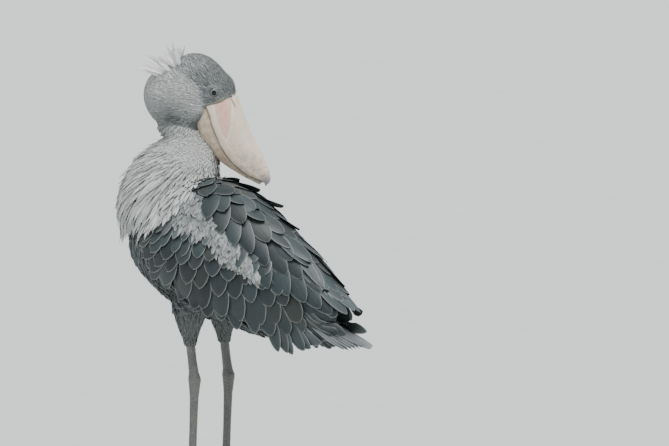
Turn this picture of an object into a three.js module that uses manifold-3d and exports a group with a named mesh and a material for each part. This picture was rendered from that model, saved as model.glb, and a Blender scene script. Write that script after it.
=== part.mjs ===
// A shoebill standing at rest, life size, with its head turned back over the right shoulder.
// Millimetres. The bird faces -Y, its left side is +X, and the floor it stands on is Z = 0.
import * as THREE from 'three';
import { mergeVertices } from 'three/addons/utils/BufferGeometryUtils.js';
import Module from 'manifold-3d';

const wasm = await Module();
wasm.setup();

// Driving dimensions
const BILL_LENGTH = 228;
const BILL_WIDTH = 104;
const EYE_RADIUS = 13;
const HEAD_TURN = 143;
const HEAD_PITCH = 48;
const HEAD_ROLL = 10;
const HEAD_PLACE = new THREE.Vector3(-50, -52, 857);
const LEG_SPREAD = 62;
const THIGH_END = 326;
const ANKLE_HEIGHT = 246;
const TARSUS_FOOT_HEIGHT = 14;
const MIDDLE_TOE = 168;
const SOLE_CUT = 0.8;
const GAP = 0.3;
const VANE_EDGE = 0.6;
// Moves the bird so that its bounding box stands centred on the origin.
const CENTRING = new THREE.Vector3(0, -105, 0);

// The torso from breast to vent: place along Y, height of the centre, half width, half depth up and down.
const TORSO = [
  { y: -200, z: 540, wide: 20, up: 20, down: 22 },
  { y: -185, z: 545, wide: 55, up: 50, down: 48 },
  { y: -150, z: 555, wide: 84, up: 88, down: 95 },
  { y: -90, z: 560, wide: 98, up: 120, down: 145 },
  { y: -20, z: 555, wide: 98, up: 138, down: 168 },
  { y: 60, z: 545, wide: 96, up: 136, down: 170 },
  { y: 130, z: 520, wide: 88, up: 112, down: 165 },
  { y: 195, z: 485, wide: 70, up: 80, down: 138 },
  { y: 250, z: 456, wide: 46, up: 48, down: 92 },
  { y: 290, z: 438, wide: 26, up: 24, down: 44 },
];

// The neck and its feather cape, from the fringe up to the nape: centre, half width and half depth.
const NECK = [
  { z: 575, x: 0, y: -116, wide: 108, deep: 100 },
  { z: 620, x: 0, y: -118, wide: 113, deep: 108 },
  { z: 680, x: -4, y: -117, wide: 108, deep: 104 },
  { z: 730, x: -12, y: -104, wide: 95, deep: 93 },
  { z: 762, x: -20, y: -98, wide: 80, deep: 78 },
  { z: 785, x: -27, y: -95, wide: 60, deep: 58 },
  { z: 800, x: -31, y: -96, wide: 46, deep: 45 },
  { z: 840, x: -34, y: -88, wide: 40, deep: 40 },
];

// The folded left wing from wrist to tip: centre, half thickness, half depth up and down.
const WING = [
  { y: -138, x: 80, z: 560, thick: 12, up: 20, down: 28 },
  { y: -100, x: 84, z: 562, thick: 32, up: 66, down: 80 },
  { y: -40, x: 84, z: 562, thick: 48, up: 116, down: 112 },
  { y: 30, x: 80, z: 553, thick: 56, up: 136, down: 130 },
  { y: 90, x: 72, z: 538, thick: 57, up: 134, down: 134 },
  { y: 150, x: 61, z: 515, thick: 53, up: 122, down: 128 },
  { y: 230, x: 51, z: 476, thick: 36, up: 100, down: 106 },
  { y: 300, x: 44, z: 445, thick: 24, up: 72, down: 68 },
  { y: 350, x: 36, z: 420, thick: 17, up: 40, down: 36 },
  { y: 385, x: 29, z: 402, thick: 10, up: 16, down: 14 },
];
// How far the wing's upper half leans in over the back, as a share of the height above its middle.
const WING_LEAN = 0.34;

// A random number source with a seed, so that each build is the same.
function seeded(seed) {
  let state = seed;
  return () => {
    state = (state * 1664525 + 1013904223) % 4294967296;
    return state / 4294967296;
  };
}

// Solids: three.js geometry in, manifold-3d solids for joining and cutting, three.js geometry out.
function solid(geometry) {
  const bare = geometry.clone();
  bare.deleteAttribute('normal');
  bare.deleteAttribute('uv');
  const merged = mergeVertices(bare, 1e-4);
  const triVerts = new Uint32Array(merged.index.array);
  const make = () => new wasm.Manifold(new wasm.Mesh({
    numProp: 3, vertProperties: merged.attributes.position.array, triVerts,
  }));
  const made = make();
  if (made.volume() > 0) return made;
  for (let i = 0; i < triVerts.length; i += 3) {
    [triVerts[i + 1], triVerts[i + 2]] = [triVerts[i + 2], triVerts[i + 1]];
  }
  return make();
}

function join(pieces) {
  return pieces.reduce((sum, piece) => sum.add(piece));
}

function largest(body) {
  return body.decompose().reduce((a, b) => (b.volume() > a.volume() ? b : a));
}

function geometryOf(body) {
  const mesh = largest(body).getMesh();
  const positions = new Float32Array(mesh.numVert * 3);
  for (let i = 0; i < mesh.numVert; i++) {
    positions.set(mesh.vertProperties.subarray(i * mesh.numProp, i * mesh.numProp + 3), i * 3);
  }
  return new THREE.BufferGeometry()
    .setAttribute('position', new THREE.BufferAttribute(positions, 3))
    .setIndex(new THREE.BufferAttribute(mesh.triVerts, 1));
}

// A smooth series of stations between the named ones: every number of a station is run through a spline.
function refine(stations, count) {
  const names = Object.keys(stations[0]);
  const curves = names.map((name) => new THREE.CatmullRomCurve3(
    stations.map((s, i) => new THREE.Vector3(i, s[name], 0)), false, 'centripetal',
  ));
  return Array.from({ length: count }, (_, i) => {
    const t = i / (count - 1);
    return Object.fromEntries(names.map((name, k) => [name, curves[k].getPoint(t).y]));
  });
}

// A closed skin through rings: ring(i, angle) gives the point at that angle, centre(i) the cap's middle.
function loft(ringCount, sides, ring, centre) {
  const tube = new THREE.CylinderGeometry(1, 1, 1, sides, ringCount - 1);
  const place = tube.attributes.position;
  for (let k = 0; k < place.count; k++) {
    const i = Math.round((0.5 - place.getY(k)) * (ringCount - 1));
    const angle = Math.atan2(place.getX(k), place.getZ(k));
    const onRim = Math.hypot(place.getX(k), place.getZ(k)) > 0.5;
    const point = onRim ? ring(i, angle) : centre(i);
    place.setXYZ(k, point.x, point.y, point.z);
  }
  return solid(tube);
}

function ellipsoid(centre, radii, grow = 0, across = 16, down = 12) {
  const ball = new THREE.SphereGeometry(1, across, down);
  ball.scale(radii.x + grow, radii.y + grow, radii.z + grow);
  ball.translate(centre.x, centre.y, centre.z);
  return solid(ball);
}

// One body blended out of several ellipsoids: each vertex of a ball is sent out to where their fields meet.
function blended(balls, heart, grow, across, down, sharpness = 7) {
  const field = (p) => balls.reduce((sum, ball) => {
    const reach = p.clone().sub(ball.at).divide(ball.size).length();
    return sum + Math.exp(-sharpness * (reach - 1));
  }, 0);
  const skin = new THREE.SphereGeometry(1, across, down);
  const place = skin.attributes.position;
  const direction = new THREE.Vector3();
  for (let k = 0; k < place.count; k++) {
    direction.fromBufferAttribute(place, k).normalize();
    let near = 0;
    let far = 200;
    for (let step = 0; step < 30; step++) {
      const middle = (near + far) / 2;
      if (field(direction.clone().multiplyScalar(middle).add(heart)) > 1) near = middle;
      else far = middle;
    }
    direction.multiplyScalar(near + grow).add(heart);
    place.setXYZ(k, direction.x, direction.y, direction.z);
  }
  return skin;
}

// A feather's vane as a thin arched plate: both faces are split alike, so that they never cross.
// spine(t) gives { at, out, across } from root to tip.
function vane({ spine, shape, width, thick, arch, tilt = 0, grow = 0 }) {
  const rows = shape.stops.length;
  const last = rows - 1;
  const face = new THREE.PlaneGeometry(1, 1, 2, rows - 1);
  const count = face.attributes.position.count;
  const points = [];
  for (const side of [1, -1]) {
    for (let row = 0; row < rows; row++) {
      const half = (width * shape.breadth[row]) / 2 + grow;
      for (const edge of [-1, 0, 1]) {
        const point = row === last && edge === 0 ? shape.point : 0;
        const { at, out, across } = spine(shape.stops[row] + point);
        const ridge = edge === 0 ? thick / 2 : VANE_EDGE / 2;
        const lift = side * (ridge + grow) - Math.abs(edge) * arch * half + edge * tilt;
        points.push(at.clone().addScaledVector(across, edge * half).addScaledVector(out, lift));
      }
    }
  }
  const faces = [];
  const front = face.index.array;
  for (let i = 0; i < front.length; i += 3) {
    faces.push(front[i], front[i + 1], front[i + 2]);
    faces.push(front[i] + count, front[i + 2] + count, front[i + 1] + count);
  }
  const rim = [];
  for (let row = 0; row < rows; row++) rim.push(row * 3);
  rim.push((rows - 1) * 3 + 1);
  for (let row = rows - 1; row >= 0; row--) rim.push(row * 3 + 2);
  rim.push(1);
  rim.forEach((a, i) => {
    const b = rim[(i + 1) % rim.length];
    faces.push(b, a, a + count, b, a + count, b + count);
  });
  const plate = new THREE.BufferGeometry()
    .setAttribute('position', new THREE.Float32BufferAttribute(points.flatMap((p) => p.toArray()), 3))
    .setIndex(faces);
  return solid(plate);
}

// Where along its length a feather is measured, how much of its full width it has there, and how far its
// point stands out beyond the last of these.
const LONG_FEATHER = { stops: [0, 0.5, 0.84, 0.97], breadth: [0.62, 1, 0.84, 0.46], point: 0.03 };
const SHORT_FEATHER = { stops: [0, 0.66, 0.92], breadth: [0.66, 1, 0.66], point: 0.08 };
const LOCK = { stops: [0, 0.5, 0.98], breadth: [0.8, 1, 0.12], point: 0.02 };

// A spine that runs over a surface from root to tip, sunk at the root and lifted at the tip.
function overSurface(surface, root, tip, sink, lift, side = 1) {
  const point = (t) => {
    const spot = surface(root[0] + (tip[0] - root[0]) * t, root[1] + (tip[1] - root[1]) * t);
    const height = -sink + (lift + sink) * Math.max(0, t) ** 0.7;
    return spot.at.clone().addScaledVector(spot.out, height);
  };
  return (t) => {
    const spot = surface(root[0] + (tip[0] - root[0]) * t, root[1] + (tip[1] - root[1]) * t);
    const along = point(t + 0.05).sub(point(t - 0.05)).normalize();
    const across = new THREE.Vector3().crossVectors(along, spot.out).normalize().multiplyScalar(side);
    const out = new THREE.Vector3().crossVectors(across, along).normalize().multiplyScalar(side);
    return { at: point(t), out, across };
  };
}

// Torso
function torso(grow = 0) {
  const rings = refine(TORSO, 15);
  return loft(
    rings.length, 18,
    (i, angle) => {
      const s = rings[i];
      const depth = Math.cos(angle) > 0 ? s.up : s.down;
      const end = i === 0 ? -grow : i === rings.length - 1 ? grow : 0;
      return new THREE.Vector3(
        (s.wide + grow) * Math.sin(angle), s.y + end, s.z + (depth + grow) * Math.cos(angle),
      );
    },
    (i) => new THREE.Vector3(0, rings[i].y + (i === 0 ? -grow : grow), rings[i].z),
  );
}

// The mantle: broad feathers down the middle of the back, between the wings.
const MANTLE = { rows: 3, firstTip: 20, step: 52, length: 96, width: 50 };

const BACK_ROWS = refine(TORSO, 120);
function backSurface(y, across) {
  const s = BACK_ROWS.reduce((a, b) => (Math.abs(b.y - y) < Math.abs(a.y - y) ? b : a));
  const slope = (BACK_ROWS.at(-1).z - s.z) / (BACK_ROWS.at(-1).y - s.y || 1);
  const height = s.z + s.up * Math.sqrt(1 - (across / s.wide) ** 2);
  return {
    at: new THREE.Vector3(across, y, height),
    out: new THREE.Vector3(across / s.wide, -slope, 1).normalize(),
  };
}

function mantle() {
  return Array.from({ length: MANTLE.rows }, (_, row) => {
    const tip = MANTLE.firstTip + MANTLE.step * row;
    const places = row % 2 ? [-24, 24] : [0];
    return places.map((across) => vane({
      spine: overSurface(backSurface, [tip - MANTLE.length, across * 0.9], [tip, across], 4, 6),
      shape: LONG_FEATHER, width: MANTLE.width, thick: 2.4, arch: 0.05,
    }));
  }).flat();
}

// Neck and cape
function neckCore(grow = 0) {
  const rings = refine(NECK, 11);
  return loft(
    rings.length, 18,
    (i, angle) => {
      const s = rings[i];
      return new THREE.Vector3(
        s.x + (s.wide + grow) * Math.sin(angle), s.y + (s.deep + grow) * Math.cos(angle), s.z,
      );
    },
    (i) => new THREE.Vector3(rings[i].x, rings[i].y, rings[i].z),
  );
}

// The room that the cape and its locks take up, for cutting the wings clear of them.
const LOCK_ROOM = 11;
function capeRoom() {
  const rows = [{ ...NECK[0], z: 526 }, ...NECK];
  const rings = refine(rows, 9);
  return loft(
    rings.length, 18,
    (i, angle) => {
      const s = rings[i];
      return new THREE.Vector3(
        s.x + (s.wide + LOCK_ROOM) * Math.sin(angle), s.y + (s.deep + LOCK_ROOM) * Math.cos(angle), s.z,
      );
    },
    (i) => new THREE.Vector3(rings[i].x, rings[i].y, rings[i].z),
  );
}

// A place on the cape from the angle round it, 0 at the breast, and the height.
function capeSurface(angle, height) {
  const rows = refine(NECK, 40);
  const s = rows.reduce((a, b) => (Math.abs(b.z - height) < Math.abs(a.z - height) ? b : a));
  const below = Math.max(0, NECK[0].z - height) * 0.16;
  const out = new THREE.Vector3(Math.sin(angle) / s.wide, -Math.cos(angle) / s.deep, 0.002).normalize();
  return {
    at: new THREE.Vector3(
      s.x + (s.wide - below) * Math.sin(angle), s.y - (s.deep - below) * Math.cos(angle), height,
    ),
    out,
  };
}

const CAPE_TIERS = [
  { root: 742, length: 84, count: 8, reach: 2.0 },
  { root: 694, length: 88, count: 9, reach: 1.85 },
  { root: 646, length: 90, count: 10, reach: 1.75 },
  { root: 604, length: 66, count: 10, reach: 1.65 },
];

function capeLocks(grow = 0) {
  const random = seeded(7);
  return CAPE_TIERS.flatMap(({ root, length, count, reach }, tier) => (
    Array.from({ length: count }, (_, i) => {
      const angle = -reach + (2 * reach * (i + 0.5 * (tier % 2) + 0.25)) / count;
      const drop = length * (0.88 + 0.24 * random());
      const drift = 0.12 * (random() - 0.5);
      return vane({
        spine: overSurface(capeSurface, [angle, root], [angle + drift, root - drop], 3, 7),
        shape: LOCK, width: 26, thick: 3, arch: 0.1, grow,
      });
    })
  ));
}

// Head, bill and eyes are laid out in the head's own frame: its bill points to -Y and its crown to +Z.
const headFrame = new THREE.Matrix4()
  .makeTranslation(HEAD_PLACE)
  .multiply(new THREE.Matrix4().makeRotationZ(THREE.MathUtils.degToRad(-HEAD_TURN)))
  .multiply(new THREE.Matrix4().makeRotationX(THREE.MathUtils.degToRad(HEAD_PITCH)))
  .multiply(new THREE.Matrix4().makeRotationY(THREE.MathUtils.degToRad(-HEAD_ROLL)));

const inHead = (left, forward, up) => new THREE.Vector3(left, -forward, up);
const toBody = (body) => body.transform(headFrame.elements);

const HEAD_BALLS = [
  { at: inHead(0, -47, 34), size: new THREE.Vector3(45, 70, 56) },
  { at: inHead(0, -4, 48), size: new THREE.Vector3(38, 34, 41) },
  { at: inHead(0, -10, -20), size: new THREE.Vector3(46, 40, 48) },
  { at: inHead(0, -56, -36), size: new THREE.Vector3(58, 74, 66) },
];
const HEAD_HEART = inHead(0, -40, 10);
const EYE_PLACE = inHead(35, -11, 48);

function skull(grow = 0) {
  return toBody(solid(blended(HEAD_BALLS, HEAD_HEART, grow, 22, 15)));
}

function eye(side, grow = 0) {
  const at = EYE_PLACE.clone();
  at.x *= side;
  const size = new THREE.Vector3().setScalar(EYE_RADIUS);
  return toBody(ellipsoid(at, size, grow, 12, 8));
}

// A lid: a ring of skin round the eye that stands a little proud of the feathers.
function lid(side) {
  const ring = new THREE.TorusGeometry(12, 3, 5, 10);
  ring.rotateY(Math.PI / 2);
  ring.translate(side * (EYE_PLACE.x + 5.5), EYE_PLACE.y, EYE_PLACE.z);
  return toBody(solid(ring));
}

// Crest plumes at the back of the crown, fanned from the nape to the top.
const CREST_COUNT = 12;

function crest() {
  const random = seeded(3);
  return Array.from({ length: CREST_COUNT }, (_, i) => {
    const share = i / (CREST_COUNT - 1);
    const lean = THREE.MathUtils.degToRad(-10 + 38 * share + 8 * (random() - 0.5));
    const spread = random() - 0.5;
    const root = inHead(spread * 34, -110 + 6 * share, -36 + 58 * share);
    const along = new THREE.Vector3(spread * 0.7, Math.cos(lean), Math.sin(lean)).normalize();
    const length = 62 + 18 * random();
    const across = new THREE.Vector3(1, 0, 0).cross(along).normalize();
    across.applyAxisAngle(along, (random() - 0.5) * 1.8);
    const out = new THREE.Vector3().crossVectors(across, along).normalize();
    return toBody(vane({
      spine: (t) => ({ at: root.clone().addScaledVector(along, length * t), out, across }),
      shape: LOCK, width: 10, thick: 3, arch: 0,
    }));
  });
}

// The bill: half width, height of the ridge and of the cutting edge, and the underside, by distance forward.
const BILL = [
  { forward: 3, wide: 0.43, ridge: 73, edge: 12, under: -32 },
  { forward: 22, wide: 0.47, ridge: 75, edge: 6, under: -45 },
  { forward: 60, wide: 0.5, ridge: 60, edge: -11, under: -56 },
  { forward: 115, wide: 0.47, ridge: 38, edge: -27, under: -55 },
  { forward: 165, wide: 0.35, ridge: 25, edge: -28, under: -43 },
  { forward: 196, wide: 0.22, ridge: 14, edge: -20, under: -33 },
  { forward: 214, wide: 0.13, ridge: 6, edge: -15, under: -26 },
];
// The nail at the bill's tip, which hooks down over the lower bill.
const BILL_TIP = [
  { forward: 222, wide: 0.09, ridge: 3, edge: -14, under: -24 },
  { forward: BILL_LENGTH, wide: 0.05, ridge: -5, edge: -18, under: -22 },
];
const RIDGE_KEEL = 3;

function billUpper(grow = 0) {
  const rings = refine([...BILL, ...BILL_TIP], 13);
  return toBody(loft(
    rings.length, 16,
    (i, angle) => {
      const s = rings[i];
      const keel = Math.abs(angle) < 0.01 ? RIDGE_KEEL * s.wide * 2 : 0;
      const rise = Math.max(0, Math.cos(angle)) ** 0.85 * (s.ridge - s.edge + grow);
      const flank = Math.sign(Math.sin(angle)) * Math.abs(Math.sin(angle)) ** 0.8;
      const half = s.wide * BILL_WIDTH + grow;
      return inHead(flank * half, s.forward + (i === 0 ? -grow : 0), s.edge - grow + rise + keel);
    },
    (i) => inHead(0, rings[i].forward + (i === 0 ? -grow : 0), (rings[i].ridge + rings[i].edge) / 2),
  ));
}

function billLower(grow = 0) {
  const rings = refine(BILL, 10);
  return toBody(loft(
    rings.length, 12,
    (i, angle) => {
      const s = rings[i];
      const top = s.edge + 6;
      const drop = Math.max(0, -Math.cos(angle)) ** 0.8 * (top - s.under + grow);
      const flank = Math.sign(Math.sin(angle)) * Math.abs(Math.sin(angle)) ** 0.8;
      const half = s.wide * BILL_WIDTH - 3 + grow;
      return inHead(flank * half, s.forward + 2, top - drop);
    },
    (i) => inHead(0, rings[i].forward + 2, (rings[i].edge + rings[i].under) / 2),
  ));
}

// The nostrils: a slit each side of the ridge, close to the forehead.
function nostrils() {
  return [-1, 1].map((side) => {
    const slit = new THREE.SphereGeometry(1, 8, 6);
    slit.scale(1.7, 11, 6);
    slit.rotateX(-0.3);
    slit.rotateY(side * 0.6);
    slit.translate(side * 28, -38, 58);
    return toBody(solid(slit));
  });
}

// A place on the folded wing's outer face: the distance back, and the way round from -1 along the wing's
// top edge over 0 at its middle to 1 at its lower edge, below which the face goes on straight down.
const WING_ROWS = refine(WING, 160);
function wingSurface(side) {
  const spot = (y, round) => {
    const s = WING_ROWS.reduce((a, b) => (Math.abs(b.y - y) < Math.abs(a.y - y) ? b : a));
    const turn = Math.min(Math.abs(round), 1) * (Math.PI / 2);
    if (round < 0) {
      const over = s.x + s.thick * Math.cos(turn) - WING_LEAN * s.up * Math.sin(turn);
      return new THREE.Vector3(side * over, y, s.z + s.up * Math.sin(turn));
    }
    const bulge = Math.sqrt(Math.max(0.3, 1 - (0.92 * round) ** 2));
    return new THREE.Vector3(side * (s.x + s.thick * bulge), y, s.z - s.down * round);
  };
  return (y, round) => {
    const back = spot(y + 8, round).sub(spot(y - 8, round));
    const up = spot(y, round - 0.06).sub(spot(y, round + 0.06));
    const out = new THREE.Vector3().crossVectors(back, up).multiplyScalar(side).normalize();
    return { at: spot(y, round), out };
  };
}

function wingCore(side, grow = 0) {
  const rings = refine(WING, 11);
  return loft(
    rings.length, 12,
    (i, angle) => {
      const s = rings[i];
      const depth = Math.cos(angle) > 0 ? s.up : s.down;
      const end = i === 0 ? -grow : i === rings.length - 1 ? grow : 0;
      const lean = WING_LEAN * Math.max(0, Math.cos(angle)) * depth;
      return new THREE.Vector3(
        side * (s.x + (s.thick + grow) * Math.sin(angle) - lean), s.y + end,
        s.z + (depth + grow) * Math.cos(angle),
      );
    },
    (i) => new THREE.Vector3(side * rings[i].x, rings[i].y + (i === 0 ? -grow : grow), rings[i].z),
  );
}

// Tiers of wing feathers: how many, the widths of the first and last, and where the first and last tips
// and roots lie as [distance back, way round]. The tips of a tier lie over the roots of the tier below.
const WING_TIERS = [
  {
    name: 'primaries', count: 4, shape: LONG_FEATHER, width: [36, 32],
    tips: [[326, 1.2], [420, 0.2]], roots: [[235, 0.6], [290, 0.1]],
  },
  {
    name: 'secondaries', count: 7, shape: SHORT_FEATHER, width: [60, 50],
    tips: [[-56, 1.1], [318, 1.1]], roots: [[-64, 0.42], [262, 0.1]],
  },
  {
    name: 'greater coverts', count: 6, shape: SHORT_FEATHER, width: [60, 50],
    tips: [[-70, 0.88], [290, 0.7]], roots: [[-76, 0.12], [236, -0.1]],
  },
  {
    name: 'median coverts', count: 6, shape: SHORT_FEATHER, width: [60, 50],
    tips: [[-94, 0.54], [250, 0.42]], roots: [[-92, -0.2], [196, -0.3]],
  },
  {
    name: 'lesser coverts', count: 5, shape: SHORT_FEATHER, width: [58, 50],
    tips: [[-90, 0.18], [190, 0.16]], roots: [[-82, -0.5], [136, -0.45]],
  },
  {
    name: 'tertials', count: 6, shape: LONG_FEATHER, width: [54, 46],
    tips: [[84, -0.24], [388, -0.4]], roots: [[34, -0.8], [268, -0.7]],
  },
  {
    name: 'scapulars', count: 4, shape: LONG_FEATHER, width: [54, 44],
    tips: [[92, -0.56], [356, -0.7]], roots: [[10, -0.94], [240, -0.92]],
  },
];

function wingVanes(side, grow = 0) {
  const random = seeded(side > 0 ? 11 : 23);
  const surface = wingSurface(side);
  return WING_TIERS.flatMap(({ count, shape, tips, roots, width }) => (
    Array.from({ length: count }, (_, i) => {
      const share = i / (count - 1);
      const mix = ([from, to]) => from + (to - from) * share;
      const stray = 6 * (random() - 0.5);
      const tip = [mix([tips[0][0], tips[1][0]]) + stray, mix([tips[0][1], tips[1][1]])];
      const root = [mix([roots[0][0], roots[1][0]]) + stray, mix([roots[0][1], roots[1][1]])];
      return vane({
        spine: overSurface(surface, root, tip, 9, 7, side),
        shape, width: mix(width), thick: 2.2, arch: 0.05,
        tilt: 2.2, grow,
      });
    })
  ));
}

// The tail: a fan of feathers, the middle ones on top.
const TAIL_ROOT = new THREE.Vector3(0, 268, 420);
const TAIL = { count: 7, length: 192, width: 44, slope: 27, fan: 11 };

function tail(grow = 0) {
  const slope = THREE.MathUtils.degToRad(TAIL.slope);
  const feathers = Array.from({ length: TAIL.count }, (_, i) => {
    const share = (2 * i) / (TAIL.count - 1) - 1;
    const turn = THREE.MathUtils.degToRad(TAIL.fan) * share;
    const along = new THREE.Vector3(
      Math.sin(turn), Math.cos(turn) * Math.cos(slope), -Math.cos(turn) * Math.sin(slope),
    );
    const up = new THREE.Vector3(0, Math.sin(slope), Math.cos(slope));
    const across = new THREE.Vector3().crossVectors(along, up).normalize();
    const out = new THREE.Vector3().crossVectors(across, along).normalize();
    const height = 7 - 13 * Math.abs(share);
    const root = TAIL_ROOT.clone().add(new THREE.Vector3(share * 20, 0, height));
    const length = TAIL.length - 14 * share * share;
    return vane({
      spine: (t) => ({ at: root.clone().addScaledVector(along, length * t), out, across }),
      shape: LONG_FEATHER, width: TAIL.width, thick: 2.6, arch: 0.05, grow,
    });
  });
  return join([tailRump(grow), ...feathers]);
}

function tailRump(grow = 0) {
  return ellipsoid(TAIL_ROOT.clone().add(new THREE.Vector3(0, 18, -10)), new THREE.Vector3(28, 52, 14), grow);
}

// The room that the fan of the tail takes up, for cutting the wings clear of it.
function tailRoom() {
  const slab = new THREE.BoxGeometry(172, TAIL.length + 40, 19);
  slab.translate(0, TAIL.length / 2 - 10, 0.5);
  const place = slab.attributes.position;
  for (let k = 0; k < place.count; k++) {
    if (place.getY(k) < 0) place.setX(k, place.getX(k) * 0.42);
  }
  slab.rotateX(THREE.MathUtils.degToRad(-TAIL.slope));
  slab.translate(TAIL_ROOT.x, TAIL_ROOT.y, TAIL_ROOT.z);
  return solid(slab).add(tailRump(GAP));
}

// Legs: thigh with its feathers, bare shank with the ankle, and the foot's hub.
const THIGH = [
  { z: 452, y: 8, wide: 40, deep: 58 },
  { z: 410, y: -2, wide: 36, deep: 46 },
  { z: 370, y: -6, wide: 26, deep: 29 },
  { z: 340, y: -5, wide: 16, deep: 17 },
  { z: THIGH_END, y: -4, wide: 12.5, deep: 13.5 },
];
const SHANK = [
  { z: THIGH_END - GAP, y: -4, wide: 10.5, deep: 11 },
  { z: ANKLE_HEIGHT + 24, y: 4, wide: 10, deep: 11 },
  { z: ANKLE_HEIGHT, y: 8, wide: 14, deep: 16 },
  { z: ANKLE_HEIGHT - 26, y: 7, wide: 10, deep: 11.5 },
  { z: 120, y: 3, wide: 8.6, deep: 9.6 },
  { z: 42, y: 0, wide: 9.4, deep: 10.5 },
  { z: 24, y: 0, wide: 14, deep: 14 },
  { z: TARSUS_FOOT_HEIGHT - 7, y: 0, wide: 15, deep: 15 },
];

function limb(stations, count, side, grow = 0, sides = 10) {
  const rings = refine(stations, count);
  return loft(
    rings.length, sides,
    (i, angle) => {
      const s = rings[i];
      const end = i === 0 ? grow : i === rings.length - 1 ? -grow : 0;
      return new THREE.Vector3(
        side * LEG_SPREAD + (s.wide + grow) * Math.sin(angle),
        s.y + (s.deep + grow) * Math.cos(angle),
        s.z + end,
      );
    },
    (i) => new THREE.Vector3(side * LEG_SPREAD, rings[i].y, rings[i].z + (i === 0 ? grow : -grow)),
  );
}

// Toes and claws: the heading is measured outwards from straight ahead, the length as a share of the
// middle toe's.
const TOES = [
  { name: 'middle', heading: 2, length: 1, thick: 7.6, joints: 3 },
  { name: 'outer', heading: 30, length: 0.82, thick: 7, joints: 3 },
  { name: 'inner', heading: -21, length: 0.7, thick: 7, joints: 2 },
  { name: 'hind', heading: 172, length: 0.5, thick: 6.6, joints: 1 },
];
const CLAW_LENGTH = 24;

function toePath(toe, side) {
  const turn = THREE.MathUtils.degToRad(toe.heading) * side;
  const along = new THREE.Vector3(Math.sin(turn), -Math.cos(turn), 0);
  const root = new THREE.Vector3(side * LEG_SPREAD, 0, 0).addScaledVector(along, 8);
  return { along, root, reach: MIDDLE_TOE * toe.length };
}

function aboveFloor(body) {
  return body.trimByPlane([0, 0, 1], 0);
}

function toeSolid(toe, side, grow = 0) {
  const { along, root, reach } = toePath(toe, side);
  const across = new THREE.Vector3(-along.y, along.x, 0);
  const rings = toe.joints * 2 + 2;
  const thickAt = (t) => {
    const pad = 1 + 0.12 * Math.cos(t * (toe.joints * 2 + 1) * Math.PI);
    return toe.thick * (1 - 0.42 * t) * pad;
  };
  const heightAt = (t) => thickAt(t) - SOLE_CUT + 5 * Math.max(0, 0.16 - t) / 0.16;
  const at = (i) => {
    const t = i / (rings - 1);
    const end = i === 0 ? -grow : i === rings - 1 ? grow : 0;
    return root.clone().addScaledVector(along, reach * t + end).setZ(heightAt(t));
  };
  return aboveFloor(loft(
    rings, 8,
    (i, angle) => {
      const thick = thickAt(i / (rings - 1)) + grow;
      return at(i).addScaledVector(across, thick * Math.sin(angle)).setZ(at(i).z + thick * Math.cos(angle));
    },
    at,
  ));
}

function claw(toe, side) {
  const { along, root, reach } = toePath(toe, side);
  const across = new THREE.Vector3(-along.y, along.x, 0);
  const rings = 5;
  const start = toe.thick * 0.58;
  const at = (i) => {
    const t = i / (rings - 1);
    return root.clone().addScaledVector(along, reach + GAP + CLAW_LENGTH * t)
      .setZ(start - SOLE_CUT + 2.4 * Math.sin(Math.PI * t) - (start - 2.2) * t);
  };
  return aboveFloor(loft(
    rings, 6,
    (i, angle) => {
      const thick = start * (0.86 - 0.74 * (i / (rings - 1)));
      return at(i)
        .addScaledVector(across, thick * 0.75 * Math.sin(angle))
        .setZ(at(i).z + thick * Math.cos(angle));
    },
    at,
  ));
}

// Materials
const finish = (color, roughness) => new THREE.MeshStandardMaterial({ color, roughness, metalness: 0 });
const PALE_PLUMAGE = finish(0xb4b8b6, 0.85);
const SLATE_PLUMAGE = finish(0x4c5a62, 0.7);
const TAIL_PLUMAGE = finish(0x70787e, 0.75);
const HORN = finish(0xdcbfa6, 0.45);
const EYEBALL = finish(0xb9c4c6, 0.15);
const LEG_SCALES = finish(0x5d625f, 0.6);
const CLAW_HORN = finish(0x3a3835, 0.4);

// Assembly: each later solid is cut clear of what it grows from or lies against.
const shoebill = new THREE.Group();

function add(name, body, material) {
  const mesh = new THREE.Mesh(geometryOf(body), material);
  mesh.name = name;
  mesh.position.copy(CENTRING);
  shoebill.add(mesh);
}

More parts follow.
